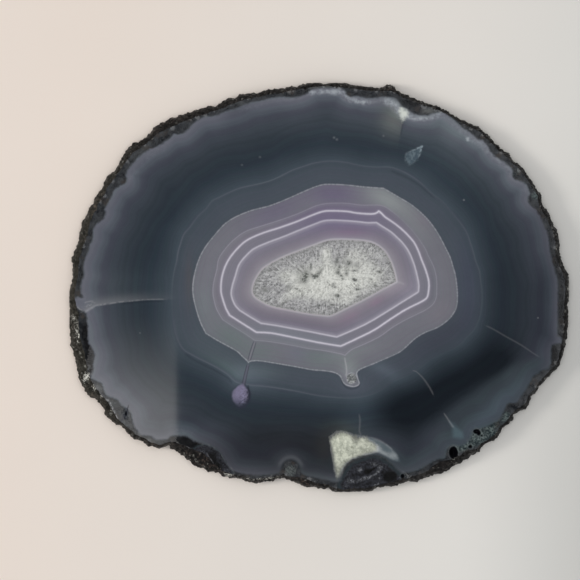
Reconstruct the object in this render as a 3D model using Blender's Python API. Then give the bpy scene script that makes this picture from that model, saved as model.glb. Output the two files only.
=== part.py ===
"""Agate slice: one sawn slice of a banded nodule.

The slice lies on its sawn underside, z = 0. The polished face is level at the
top, and the natural rough wall of the nodule runs round it and slopes outwards
from the polished edge. The stone is one solid: rind, bands and quartz grew
together. The polished face is broken only where the stone itself is open: small
pits between the quartz crystals in the middle, the open eye of one feeder tube,
a few holes in the rind, and the coarse crystals and lumpy rind at the lower rim.
"""

import math

import bmesh
import bpy
from mathutils import Vector, noise
from mathutils.geometry import delaunay_2d_cdt

# ---------------------------------------------------------------- dimensions
# metres
GRID = 0.0003  # one step of the drawing grid that the stations below use
MIDDLE = (319.15, 287.4)  # grid point over the origin; the grid's y runs down
THICKNESS = 0.0065  # underside to polished face
TUCK = 0.0003  # how far the wall draws in again at the underside
COLUMNS = 360  # facets round the wall
WALL_GRAIN = 0.00035  # depth of the wall's roughness
FINE_STEP = 0.00108  # spacing of points on the broken parts of the face
COARSE_STEP = 0.0062  # spacing of points on its level parts
BASE_STEP = 0.0095  # spacing of points on the underside
EDGE_CHIP = 0.00012  # how far the polished edge wanders between its stations

# The wall from the polished edge (first) to the underside (last):
# height as a share of the thickness, and how much of the outward slope is used.
WALL_ROWS = (
    (1.00, 0.00),
    (0.88, 0.34),
    (0.68, 0.66),
    (0.46, 0.90),
    (0.26, 1.00),
    (0.10, 0.97),
    (0.00, 0.88),
)

# Widest outline of the nodule, clockwise from the top, in grid steps.
OUTLINE = [
    (318, 82), (321, 83.3), (325, 84.5), (329, 83), (333, 82.5), (338, 82),
    (343, 82.8), (348, 84), (352, 85), (356, 86), (360, 86), (365, 86.3),
    (370, 86.8), (374, 88.8), (378, 88.5), (382, 88), (385, 86.5), (387, 84.5),
    (391, 85.5), (394, 87.8), (398, 91), (402, 94), (407, 96), (412, 98),
    (417, 100.3), (422, 102), (427, 103.8), (432, 105.5), (436, 106.2), (440, 108),
    (445, 110.5), (449, 113), (453, 115.5), (457, 118.3), (461, 119.5), (465, 121.5),
    (469, 123.5), (474, 125.5), (478, 127), (482, 130), (486, 133.5), (489, 136.5),
    (492, 139), (495, 142.5), (499, 147), (502, 150), (505, 152), (508, 152.5),
    (510, 155), (512, 159.5), (515, 163), (519, 164.5), (522, 168), (525, 172.5),
    (528, 176), (531, 180), (534, 185), (537, 190), (540, 193), (541, 197),
    (541, 201), (544, 206), (547, 212), (550, 217), (553, 223.5), (556, 229),
    (558, 235), (559, 240), (559.5, 245), (559.5, 251), (558.6, 255.5), (561, 257),
    (561.2, 260), (562.5, 264), (564.5, 268), (567, 272.5), (568.5, 277), (569.5, 283),
    (570, 288), (570, 293), (568.5, 297), (568, 303), (567.5, 309), (568, 314),
    (568.5, 320), (567.5, 326), (566.5, 331), (566.5, 337), (565, 343), (564.5, 348),
    (563, 353), (562.5, 356.5), (560.5, 360), (559.5, 365), (557, 368.5), (553.5, 371.5),
    (550, 375), (546, 379), (543, 382.5), (539, 386), (537, 390), (533.5, 394),
    (530.5, 397), (529.8, 401), (528.5, 405), (525, 408.5), (520.5, 410.5), (517, 413),
    (514.5, 415), (514, 418), (511.5, 421), (507.5, 424.5), (502, 428.5), (500, 432.5),
    (497.5, 436.5), (493, 440.5), (488, 442.5), (483.5, 445.5), (480, 448), (479, 451.5),
    (476, 453), (472, 454.5), (468, 458.5), (462.5, 461), (459, 463.5), (455, 465),
    (451, 467.5), (449, 469.5), (444, 471.5), (440, 473.5), (434, 474.5), (430.5, 475.5),
    (428, 477.5), (423, 477.8), (419.5, 480), (416.5, 481.5), (411, 481.5), (408, 480.8),
    (404, 482.5), (399, 484), (394, 485.5), (390, 486), (385, 486), (380, 487.5),
    (375, 488), (371, 490.5), (367, 491.5), (362, 491), (357, 491.3), (352, 491.5),
    (347, 492.8), (341, 492.5), (335, 492.3), (332, 490.5), (329, 488), (325, 488),
    (320, 488), (315, 487), (309, 486.5), (304, 485.5), (299, 483.5), (296, 482),
    (294, 480.5), (290, 480.3), (287, 478), (283, 478), (279, 478.5), (275, 479.5),
    (270, 481), (265, 481.5), (260, 482), (256, 482.5), (249, 482), (245, 480.5),
    (241, 478.5), (237, 478), (232, 477.8), (226, 476.5), (221, 474.5), (219, 472),
    (213, 471.5), (207, 470.5), (204, 469), (199, 467), (194, 465), (190.8, 463.2),
    (189.8, 460.8), (187, 459), (183, 455.5), (179, 453), (174, 450), (171, 448),
    (170.2, 446), (168.5, 445.3), (164, 447), (159, 448.5), (156, 448), (152, 446),
    (147, 445.5), (146, 443), (142, 441.5), (138, 440), (134.5, 439), (132.5, 437),
    (129, 433.5), (125, 429.5), (122, 426), (117, 424.5), (112.5, 421.5), (108, 417.5),
    (105, 414), (105, 411), (103, 407.5), (101, 404), (98, 401.5), (95, 398.5),
    (91, 397.5), (88.5, 395), (86.5, 392), (84.5, 389.5), (83.5, 387), (81, 384),
    (80, 381.5), (79, 378), (78, 373), (77, 368), (76.5, 363), (76, 359.5),
    (74.5, 355.5), (73, 351), (71.3, 346), (70.7, 340), (70, 334), (69.5, 328),
    (69, 322), (69.5, 317), (70.3, 313), (69.7, 308), (69.5, 303), (68.3, 299),
    (68.5, 295), (70, 291), (70.5, 287), (72, 283), (73, 279), (72.5, 275),
    (73, 270), (73, 265), (72.5, 260), (73.3, 256), (74.5, 252), (76, 248.5),
    (78, 244), (79, 240), (79, 237), (78.8, 233), (80, 231.5), (81, 228),
    (82.3, 224), (84.5, 218), (88, 212), (92, 205), (96, 197.5), (98, 193.5),
    (100.5, 192), (102, 188), (105.5, 181), (108, 176), (110, 174), (114, 172),
    (118, 165), (122, 158.5), (126, 152), (130, 147), (134, 142.8), (137, 141.8),
    (139, 143), (142, 141), (145.5, 137.5), (150, 133.5), (153, 129.5), (157, 126),
    (161, 122.8), (164, 122.5), (168, 120), (173, 118), (178, 116.5), (184, 114.5),
    (189, 112.3), (191, 113), (196, 110.5), (201, 109), (206, 107), (209, 106),
    (212, 107), (216, 106.5), (219, 105), (223, 101.5), (227, 99), (231, 97.8),
    (235, 98), (240, 95), (245, 93.3), (250, 93.3), (254, 93.3), (257, 93.8),
    (260, 92.8), (264, 91.3), (268, 90), (272, 89.3), (277, 89), (282, 88.8),
    (286, 88.8), (289, 87.5), (292, 86), (296, 87), (299, 85.8), (303, 84.5),
    (308, 83.5), (313, 82.8),
]

# Edge of the polished face, clockwise from the top, in grid steps.
FACE_EDGE = [
    (320, 86.5), (335, 86.5), (348, 88), (360, 89.5), (372, 91.2), (384, 91),
    (392, 90.8), (400, 96), (410, 99.8), (422, 104.8), (434, 108.6), (446, 113.8),
    (458, 121.2), (470, 127), (480, 132.2), (490, 141.5), (498, 149.8), (506, 156),
    (511, 162.5), (519, 168.8), (526, 177.5), (532, 187), (537, 194.5), (538.3, 203),
    (543.8, 213.5), (549.5, 224.5), (554, 235), (555.8, 246), (556, 256), (559.5, 267),
    (564, 277), (565.6, 288), (564.6, 300), (563.8, 312), (564, 324), (562.6, 336),
    (561, 347), (559, 357), (555.5, 365), (547.5, 372.5), (540.6, 380.6), (535, 388.6),
    (528, 396.2), (525.6, 403.6), (518.5, 408), (511.3, 413.6), (507, 420.6), (500, 426.4),
    (496, 433), (490, 438.4), (482, 443), (476, 449), (470, 450.2), (463, 452.6),
    (457, 458.2), (448, 460.2), (440, 461.4), (435, 464.4), (430, 468.8), (424, 473),
    (414, 475.8), (406, 478.6), (397, 480.6), (388, 482.8), (378, 485), (368, 487.6),
    (356, 488.2), (344, 489.2), (336, 488.6), (328, 485), (318, 483.2), (308, 480),
    (299, 477), (292, 477), (284, 475.2), (274, 476), (263, 478), (252, 478.6),
    (243, 475.6), (234, 474.6), (227, 472.6), (220, 469), (214, 464), (209, 458),
    (203, 453), (195, 450.4), (187, 447), (180, 444.2), (175, 441.6), (168, 442.4),
    (160, 444.8), (152, 442.6), (144, 438.4), (138, 435.8), (131, 430), (124, 424),
    (117.5, 419), (112.5, 411), (108, 402), (102.5, 396), (97.5, 390), (92, 382),
    (88.5, 374), (86.5, 364), (84.4, 354), (82, 344), (79.6, 334), (78.2, 324),
    (78.6, 314), (76.4, 306), (74.5, 298), (75, 289), (77.5, 280), (78, 271),
    (78.5, 262), (81, 252), (85, 242), (88, 232), (90.5, 222), (94, 213),
    (98.5, 204), (103.5, 195), (108.5, 186), (114, 178.5), (120.5, 170), (126, 162),
    (132, 153.5), (138, 149), (146, 143.5), (152, 138.5), (159, 133), (167, 129),
    (176, 125), (184, 121.4), (193, 118), (202, 115), (212, 112), (221, 108.6),
    (230, 105), (240, 101), (250, 98.4), (260, 96.8), (270, 94.5), (280, 93),
    (290, 91.2), (300, 89.4), (310, 87.6),
]

# Outline of the quartz in the middle, clockwise from the top.
QUARTZ = [
    (337, 239), (356, 239.6), (370, 241.4), (379.5, 246), (387, 253.4), (392.5, 264.4),
    (395.8, 275.4), (397, 282), (383.4, 289.2), (365, 299.4), (346.4, 308.6), (333.5, 315),
    (328, 316.3), (309.5, 314.2), (291, 310.8), (272.5, 307), (261.6, 302), (254.2, 296.6),
    (252, 290.2), (254.2, 281.2), (259.7, 271.8), (265.2, 266.4), (280, 258), (298.4, 250.6),
    (313.2, 245), (326, 240.4),
]

# Pits between the quartz crystals: grid point, half width, half height, depth in mm.
PITS = [
    (315, 276, 3.4, 3.0, 0.75), (304, 277, 2.6, 2.6, 0.55), (335, 286, 2.6, 2.4, 0.50),
    (337.6, 295.6, 2.4, 2.2, 0.45), (357.6, 289, 2.6, 2.4, 0.50), (354.4, 280, 2.4, 2.4, 0.45),
    (355, 271, 2.4, 2.6, 0.45), (338.5, 267, 2.0, 8.0, 0.50), (349, 263, 2.2, 2.4, 0.40),
    (379, 272, 2.4, 2.2, 0.40), (299, 290, 2.4, 2.2, 0.40), (310.5, 267, 2.2, 2.2, 0.35),
]

# Open places in the rind and the tube's eye, in the same form.
HOLES = [
    (351.5, 378.5, 4.6, 4.8, 0.90),
    (453.5, 452.5, 3.8, 5.4, 1.60),
    (477.5, 432.0, 3.8, 3.2, 1.10),
    (470.5, 446.5, 2.6, 2.2, 0.80),
    (402.5, 476.0, 2.4, 2.8, 0.80),
    (290.5, 470.5, 5.6, 6.4, 0.40),
]

# Coarse crystals at the lower rim, and the lumpy rind below them.
CRYSTALS = [
    (329, 433), (340, 427), (348, 430), (356, 437), (368, 438), (379, 441),
    (374, 451.5), (364, 454.5), (350, 459.5), (343, 466), (339, 476), (335.5, 479),
    (332.8, 462), (331, 446),
]
LUMPY_RIND = [
    (341.5, 476), (344, 468), (350.5, 460.5), (360, 458), (367, 454.8), (375, 454.6),
    (383, 457), (390, 462), (396, 468), (401, 474), (400, 481), (388, 484.5),
    (372, 489), (356, 489.6), (343, 489),
]


# ------------------------------------------------------------------ geometry
def place(station):
    """Grid station to metres about the origin."""
    return ((station[0] - MIDDLE[0]) * GRID, (MIDDLE[1] - station[1]) * GRID)


def polar_table(stations):
    """Stations as (angle, radius), sorted by angle and closed past a full turn."""
    table = []
    for station in stations:
        x, y = place(station)
        table.append((math.atan2(y, x) % math.tau, math.hypot(x, y)))
    table.sort()
    first, last = table[0], table[-1]
    return (
        [(last[0] - math.tau, last[1])] + table + [(first[0] + math.tau, first[1])]
    )


def radius_at(table, angle):
    """Radius at an angle, straight between the two stations beside it."""
    angle %= math.tau
    low, high = 0, len(table) - 1
    while high - low > 1:
        half = (low + high) // 2
        if table[half][0] <= angle:
            low = half
        else:
            high = half
    (a0, r0), (a1, r1) = table[low], table[high]
    share = (angle - a0) / max(a1 - a0, 1e-12)
    return r0 + (r1 - r0) * min(max(share, 0.0), 1.0)


def even_angles(table, count):
    """Angles that cut the outline into steps of about the same length."""
    fine = 4 * 720
    reach = 24
    radii = [radius_at(table, math.tau * i / fine) for i in range(fine)]
    smooth = [
        sum(radii[(i + k) % fine] for k in range(-reach, reach + 1)) / (2 * reach + 1)
        for i in range(fine)
    ]
    run = [0.0]
    for i in range(fine):
        a, b = smooth[i], smooth[(i + 1) % fine]
        step = math.tau / fine
        run.append(run[-1] + math.hypot(b - a, step * (a + b) / 2))
    angles, j = [], 0
    for k in range(count):
        goal = run[-1] * k / count
        while run[j + 1] < goal:
            j += 1
        share = (goal - run[j]) / max(run[j + 1] - run[j], 1e-12)
        angles.append(math.tau * (j + share) / fine)
    return angles


def inside(point, polygon):
    """Whether a point lies in a polygon."""
    x, y = point
    hit = False
    for (x0, y0), (x1, y1) in zip(polygon, polygon[1:] + polygon[:1]):
        if (y0 > y) != (y1 > y) and x < (x1 - x0) * (y - y0) / (y1 - y0) + x0:
            hit = not hit
    return hit


def gap_to(point, polygon):
    """Distance from a point to a polygon's sides."""
    x, y = point
    best = 1e9
    for (x0, y0), (x1, y1) in zip(polygon, polygon[1:] + polygon[:1]):
        dx, dy = x1 - x0, y1 - y0
        share = ((x - x0) * dx + (y - y0) * dy) / max(dx * dx + dy * dy, 1e-18)
        share = min(max(share, 0.0), 1.0)
        best = min(best, math.hypot(x - x0 - share * dx, y - y0 - share * dy))
    return best


def fade(value, low, high):
    """0 below low, 1 above high, and an even curve between them."""
    t = min(max((value - low) / (high - low), 0.0), 1.0)
    return t * t * (3 - 2 * t)


def grain(x, y, z, size):
    """Smooth noise from -1 to 1 with features of about this size."""
    return noise.noise(Vector((x, y, z)) / size)


QUARTZ_M = [place(p) for p in QUARTZ]
CRYSTALS_M = [place(p) for p in CRYSTALS]
LUMPY_M = [place(p) for p in LUMPY_RIND]


def bowls(x, y, list_of_bowls):
    """Depth in metres of the deepest bowl over a point."""
    deepest = 0.0
    for cx, cy, half_w, half_h, depth in list_of_bowls:
        px, py = place((cx, cy))
        reach = math.hypot((x - px) / (half_w * GRID), (y - py) / (half_h * GRID))
        if reach < 1.35:
            deepest = max(deepest, depth * 0.001 * (1 - fade(reach, 0.35, 1.35)))
    return deepest


def depth_at(x, y):
    """How far the stone lies below the polished level."""
    depth = bowls(x, y, HOLES)
    if inside((x, y), QUARTZ_M):
        rim = fade(gap_to((x, y), QUARTZ_M), 0.0002, 0.002)
        depth = max(depth, bowls(x, y, PITS))
        depth += rim * 0.00007 * (1 + grain(x, y, 0.3, 0.0016))
    if inside((x, y), CRYSTALS_M):
        rim = fade(gap_to((x, y), CRYSTALS_M), 0.0, 0.0012)
        depth = max(depth, rim * (0.00028 + 0.00022 * grain(x, y, 1.7, 0.0017)))
    if inside((x, y), LUMPY_M):
        rim = fade(gap_to((x, y), LUMPY_M), 0.0, 0.0016)
        lumps = 0.00085 + 0.00075 * grain(x, y, 4.1, 0.0026)
        depth = max(depth, rim * lumps)
    return depth


def broken(x, y):
    """Whether the face is uneven here, and so needs close points."""
    if inside((x, y), QUARTZ_M):
        return True
    if inside((x, y), CRYSTALS_M) or inside((x, y), LUMPY_M):
        return True
    for cx, cy, half_w, half_h, _ in HOLES:
        px, py = place((cx, cy))
        if math.hypot((x - px) / (half_w * GRID), (y - py) / (half_h * GRID)) < 1.6:
            return True
    return False


def lattice(step, half_x, half_y):
    """Points of an even triangular net over a box."""
    rows = int(half_y / (step * math.sqrt(3) / 2)) + 1
    across = int(half_x / step) + 1
    for j in range(-rows, rows + 1):
        for i in range(-across, across + 1):
            yield ((i + 0.5 * (j % 2)) * step, j * step * math.sqrt(3) / 2)


def fill(loop, extra):
    """Triangles that fill a loop and use the extra points inside it."""
    points = [Vector(p) for p in loop + extra]
    count = len(loop)
    edges = [(i, (i + 1) % count) for i in range(count)]
    out, _, faces, sources, _, _ = delaunay_2d_cdt(
        points, edges, [list(range(count))], 1, 1e-7
    )
    return out, faces, sources


def build():
    outline = polar_table(OUTLINE)
    face_edge = polar_table(FACE_EDGE)
    angles = even_angles(outline, COLUMNS)
    half_x = max(abs(place(p)[0]) for p in OUTLINE)
    half_y = max(abs(place(p)[1]) for p in OUTLINE)

    mesh = bmesh.new()
    rings = []
    for row, (height, slope) in enumerate(WALL_ROWS):
        ring = []
        for angle in angles:
            outer = radius_at(outline, angle)
            inner = min(radius_at(face_edge, angle), outer - 0.0004)
            c, s = math.cos(angle), math.sin(angle)
            if row == 0:
                inner += EDGE_CHIP * grain(c * 0.06, s * 0.06, 0.9, 0.0016)
            radius = inner + (outer - inner) * slope
            z = THICKNESS * height
            if 0 < row < len(WALL_ROWS) - 1:
                rough = grain(c * outer, s * outer, z * 1.5, 0.0021)
                rough += 0.5 * grain(c * outer, s * outer, z * 1.5 + 0.05, 0.0011)
                held = 0.35 if slope == 1.0 else 1.0
                radius -= WALL_GRAIN * held * (0.5 + 0.5 * rough)
            elif row:
                radius -= TUCK
            x, y = radius * c, radius * s
            if row == 0:
                z -= min(depth_at(x, y), 0.0009)
            ring.append(mesh.verts.new((x, y, z)))
        rings.append(ring)
    for upper, lower in zip(rings, rings[1:]):
        for i in range(COLUMNS):
            j = (i + 1) % COLUMNS
            mesh.faces.new((upper[i], lower[i], lower[j], upper[j]))

    def cap(ring, level, spots, relief):
        loop = [(v.co.x, v.co.y) for v in ring]
        clear = [p for p in spots if inside(p, loop) and gap_to(p, loop) > relief]
        out, faces, sources = fill(loop, clear)
        verts = []
        for point, source in zip(out, sources):
            own = [k for k in source if k < COLUMNS]
            verts.append(
                ring[own[0]]
                if own
                else mesh.verts.new((point.x, point.y, level(point.x, point.y)))
            )
        for face in faces:
            corners = [verts[k] for k in face]
            if len(set(corners)) == 3:
                mesh.faces.new(corners)

    fine = [p for p in lattice(FINE_STEP, half_x, half_y) if broken(*p)]
    coarse = [
        p
        for p in lattice(COARSE_STEP, half_x, half_y)
        if not broken(*p)
        and min((math.hypot(p[0] - q[0], p[1] - q[1]) for q in fine), default=1.0)
        > 0.5 * COARSE_STEP
    ]
    cap(rings[0], lambda x, y: THICKNESS - depth_at(x, y), fine + coarse, 0.0006)
    cap(rings[-1], lambda x, y: 0.0, list(lattice(BASE_STEP, half_x, half_y)), 0.004)

    bmesh.ops.triangulate(mesh, faces=[f for f in mesh.faces if len(f.verts) > 3])
    bmesh.ops.recalc_face_normals(mesh, faces=mesh.faces)
    data = bpy.data.meshes.new("agate_slice")
    mesh.to_mesh(data)
    mesh.free()
    data.shade_smooth()
    data.set_sharp_from_angle(angle=math.radians(28))
    return data


for old in list(bpy.data.objects):
    bpy.data.objects.remove(old, do_unlink=True)

stone = bpy.data.objects.new("agate_slice", build())
bpy.context.scene.collection.objects.link(stone)

agate = bpy.data.materials.new("agate")
agate.use_nodes = True
shader = agate.node_tree.nodes["Principled BSDF"]
shader.inputs["Base Color"].default_value = (0.085, 0.10, 0.118, 1.0)
shader.inputs["Roughness"].default_value = 0.14
shader.inputs["Metallic"].default_value = 0.0
shader.inputs["IOR"].default_value = 1.54
stone.data.materials.append(agate)
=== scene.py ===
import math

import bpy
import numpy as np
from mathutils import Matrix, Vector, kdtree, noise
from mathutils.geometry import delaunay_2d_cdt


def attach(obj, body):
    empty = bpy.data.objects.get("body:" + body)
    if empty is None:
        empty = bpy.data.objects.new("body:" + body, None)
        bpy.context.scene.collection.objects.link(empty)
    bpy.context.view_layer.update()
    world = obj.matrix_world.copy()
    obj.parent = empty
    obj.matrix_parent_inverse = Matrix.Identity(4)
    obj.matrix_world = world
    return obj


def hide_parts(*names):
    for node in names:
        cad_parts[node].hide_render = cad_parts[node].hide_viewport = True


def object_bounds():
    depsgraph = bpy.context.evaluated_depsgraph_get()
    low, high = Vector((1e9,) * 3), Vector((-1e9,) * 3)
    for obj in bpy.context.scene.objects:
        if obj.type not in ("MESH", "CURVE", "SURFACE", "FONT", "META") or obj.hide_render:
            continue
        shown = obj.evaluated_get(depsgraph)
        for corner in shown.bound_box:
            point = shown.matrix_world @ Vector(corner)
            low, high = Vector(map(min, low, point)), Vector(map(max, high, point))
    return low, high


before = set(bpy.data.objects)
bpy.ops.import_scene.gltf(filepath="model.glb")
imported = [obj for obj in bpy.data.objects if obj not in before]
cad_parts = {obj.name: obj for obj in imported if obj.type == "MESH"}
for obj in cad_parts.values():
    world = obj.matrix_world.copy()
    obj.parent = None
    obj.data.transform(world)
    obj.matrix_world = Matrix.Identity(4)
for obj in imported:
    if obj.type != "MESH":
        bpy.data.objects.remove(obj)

# The looks of the agate slice. One closed mesh stands for the whole stone: the
# polished face with its bands, the rough wall round it and the sawn underside.
#
# All drawing is done on a grid of 0.3 mm steps that lies on the slice: x to the
# right, y down. Lengths called "steps" below are in that grid.

box_before = [list(map(float, corner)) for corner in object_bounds()]

# ------------------------------------------------------------------ dimensions
GRID = 0.0003  # metres in one step
MIDDLE = (319.15, 287.4)  # grid point over the origin
THICKNESS = 0.0065
TUCK = 0.0003
COLUMNS = 2040  # points round the wall
FLAT_STEP = 2.12  # spacing of points on the level face, in steps
FINE_STEP = 1.02  # spacing on its broken parts
BASE_STEP = 4.4  # spacing on the underside

# The wall from the polished edge to the underside: height as a share of the
# thickness, and how much of the outward slope is used.
WALL = (
    (1.00, 0.00), (0.965, 0.07), (0.92, 0.21), (0.865, 0.37), (0.80, 0.48),
    (0.73, 0.585), (0.66, 0.69), (0.58, 0.79), (0.50, 0.87), (0.42, 0.94),
    (0.34, 0.985), (0.26, 1.0), (0.18, 0.99), (0.10, 0.96), (0.04, 0.92), (0.0, 0.87),
)

# Widest outline of the nodule, clockwise from the top.
OUTLINE = [
    (318, 82), (321, 83.3), (325, 84.5), (329, 83), (333, 82.5), (338, 82),
    (343, 82.8), (348, 84), (352, 85), (356, 86), (360, 86), (365, 86.3),
    (370, 86.8), (374, 88.8), (378, 88.5), (382, 88), (385, 86.5), (387, 84.5),
    (391, 85.5), (394, 87.8), (398, 91), (402, 94), (407, 96), (412, 98),
    (417, 100.3), (422, 102), (427, 103.8), (432, 105.5), (436, 106.2), (440, 108),
    (445, 110.5), (449, 113), (453, 115.5), (457, 118.3), (461, 119.5), (465, 121.5),
    (469, 123.5), (474, 125.5), (478, 127), (482, 130), (486, 133.5), (489, 136.5),
    (492, 139), (495, 142.5), (499, 147), (502, 150), (505, 152), (508, 152.5),
    (510, 155), (512, 159.5), (515, 163), (519, 164.5), (522, 168), (525, 172.5),
    (528, 176), (531, 180), (534, 185), (537, 190), (540, 193), (541, 197),
    (541, 201), (544, 206), (547, 212), (550, 217), (553, 223.5), (556, 229),
    (558, 235), (559, 240), (559.5, 245), (559.5, 251), (558.6, 255.5), (561, 257),
    (561.2, 260), (562.5, 264), (564.5, 268), (567, 272.5), (568.5, 277), (569.5, 283),
    (570, 288), (570, 293), (568.5, 297), (568, 303), (567.5, 309), (568, 314),
    (568.5, 320), (567.5, 326), (566.5, 331), (566.5, 337), (565, 343), (564.5, 348),
    (563, 353), (562.5, 356.5), (560.5, 360), (559.5, 365), (557, 368.5), (553.5, 371.5),
    (550, 375), (546, 379), (543, 382.5), (539, 386), (537, 390), (533.5, 394),
    (530.5, 397), (529.8, 401), (528.5, 405), (525, 408.5), (520.5, 410.5), (517, 413),
    (514.5, 415), (514, 418), (511.5, 421), (507.5, 424.5), (502, 428.5), (500, 432.5),
    (497.5, 436.5), (493, 440.5), (488, 442.5), (483.5, 445.5), (480, 448), (479, 451.5),
    (476, 453), (472, 454.5), (468, 458.5), (462.5, 461), (459, 463.5), (455, 465),
    (451, 467.5), (449, 469.5), (444, 471.5), (440, 473.5), (434, 474.5), (430.5, 475.5),
    (428, 477.5), (423, 477.8), (419.5, 480), (416.5, 481.5), (411, 481.5), (408, 480.8),
    (404, 482.5), (399, 484), (394, 485.5), (390, 486), (385, 486), (380, 487.5),
    (375, 488), (371, 490.5), (367, 491.5), (362, 491), (357, 491.3), (352, 491.5),
    (347, 492.8), (341, 492.5), (335, 492.3), (332, 490.5), (329, 488), (325, 488),
    (320, 488), (315, 487), (309, 486.5), (304, 485.5), (299, 483.5), (296, 482),
    (294, 480.5), (290, 480.3), (287, 478), (283, 478), (279, 478.5), (275, 479.5),
    (270, 481), (265, 481.5), (260, 482), (256, 482.5), (249, 482), (245, 480.5),
    (241, 478.5), (237, 478), (232, 477.8), (226, 476.5), (221, 474.5), (219, 472),
    (213, 471.5), (207, 470.5), (204, 469), (199, 467), (194, 465), (190.8, 463.2),
    (189.8, 460.8), (187, 459), (183, 455.5), (179, 453), (174, 450), (171, 448),
    (170.2, 446), (168.5, 445.3), (164, 447), (159, 448.5), (156, 448), (152, 446),
    (147, 445.5), (146, 443), (142, 441.5), (138, 440), (134.5, 439), (132.5, 437),
    (129, 433.5), (125, 429.5), (122, 426), (117, 424.5), (112.5, 421.5), (108, 417.5),
    (105, 414), (105, 411), (103, 407.5), (101, 404), (98, 401.5), (95, 398.5),
    (91, 397.5), (88.5, 395), (86.5, 392), (84.5, 389.5), (83.5, 387), (81, 384),
    (80, 381.5), (79, 378), (78, 373), (77, 368), (76.5, 363), (76, 359.5),
    (74.5, 355.5), (73, 351), (71.3, 346), (70.7, 340), (70, 334), (69.5, 328),
    (69, 322), (69.5, 317), (70.3, 313), (69.7, 308), (69.5, 303), (68.3, 299),
    (68.5, 295), (70, 291), (70.5, 287), (72, 283), (73, 279), (72.5, 275),
    (73, 270), (73, 265), (72.5, 260), (73.3, 256), (74.5, 252), (76, 248.5),
    (78, 244), (79, 240), (79, 237), (78.8, 233), (80, 231.5), (81, 228),
    (82.3, 224), (84.5, 218), (88, 212), (92, 205), (96, 197.5), (98, 193.5),
    (100.5, 192), (102, 188), (105.5, 181), (108, 176), (110, 174), (114, 172),
    (118, 165), (122, 158.5), (126, 152), (130, 147), (134, 142.8), (137, 141.8),
    (139, 143), (142, 141), (145.5, 137.5), (150, 133.5), (153, 129.5), (157, 126),
    (161, 122.8), (164, 122.5), (168, 120), (173, 118), (178, 116.5), (184, 114.5),
    (189, 112.3), (191, 113), (196, 110.5), (201, 109), (206, 107), (209, 106),
    (212, 107), (216, 106.5), (219, 105), (223, 101.5), (227, 99), (231, 97.8),
    (235, 98), (240, 95), (245, 93.3), (250, 93.3), (254, 93.3), (257, 93.8),
    (260, 92.8), (264, 91.3), (268, 90), (272, 89.3), (277, 89), (282, 88.8),
    (286, 88.8), (289, 87.5), (292, 86), (296, 87), (299, 85.8), (303, 84.5),
    (308, 83.5), (313, 82.8),
]

# Edge of the polished face.
FACE_EDGE = [
    (320, 86.5), (335, 86.5), (348, 88), (360, 89.5), (372, 91.2), (384, 91),
    (392, 90.8), (400, 96), (410, 99.8), (422, 104.8), (434, 108.6), (446, 113.8),
    (458, 121.2), (470, 127), (480, 132.2), (490, 141.5), (498, 149.8), (506, 156),
    (511, 162.5), (519, 168.8), (526, 177.5), (532, 187), (537, 194.5), (538.3, 203),
    (543.8, 213.5), (549.5, 224.5), (554, 235), (555.8, 246), (556, 256), (559.5, 267),
    (564, 277), (565.6, 288), (564.6, 300), (563.8, 312), (564, 324), (562.6, 336),
    (561, 347), (559, 357), (555.5, 365), (547.5, 372.5), (540.6, 380.6), (535, 388.6),
    (528, 396.2), (525.6, 403.6), (518.5, 408), (511.3, 413.6), (507, 420.6), (500, 426.4),
    (496, 433), (490, 438.4), (482, 443), (476, 449), (470, 450.2), (463, 452.6),
    (457, 458.2), (448, 460.2), (440, 461.4), (435, 464.4), (430, 468.8), (424, 473),
    (414, 475.8), (406, 478.6), (397, 480.6), (388, 482.8), (378, 485), (368, 487.6),
    (356, 488.2), (344, 489.2), (336, 488.6), (328, 485), (318, 483.2), (308, 480),
    (299, 477), (292, 477), (284, 475.2), (274, 476), (263, 478), (252, 478.6),
    (243, 475.6), (234, 474.6), (227, 472.6), (220, 469), (214, 464), (209, 458),
    (203, 453), (195, 450.4), (187, 447), (180, 444.2), (175, 441.6), (168, 442.4),
    (160, 444.8), (152, 442.6), (144, 438.4), (138, 435.8), (131, 430), (124, 424),
    (117.5, 419), (112.5, 411), (108, 402), (102.5, 396), (97.5, 390), (92, 382),
    (88.5, 374), (86.5, 364), (84.4, 354), (82, 344), (79.6, 334), (78.2, 324),
    (78.6, 314), (76.4, 306), (74.5, 298), (75, 289), (77.5, 280), (78, 271),
    (78.5, 262), (81, 252), (85, 242), (88, 232), (90.5, 222), (94, 213),
    (98.5, 204), (103.5, 195), (108.5, 186), (114, 178.5), (120.5, 170), (126, 162),
    (132, 153.5), (138, 149), (146, 143.5), (152, 138.5), (159, 133), (167, 129),
    (176, 125), (184, 121.4), (193, 118), (202, 115), (212, 112), (221, 108.6),
    (230, 105), (240, 101), (250, 98.4), (260, 96.8), (270, 94.5), (280, 93),
    (290, 91.2), (300, 89.4), (310, 87.6),
]

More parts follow.
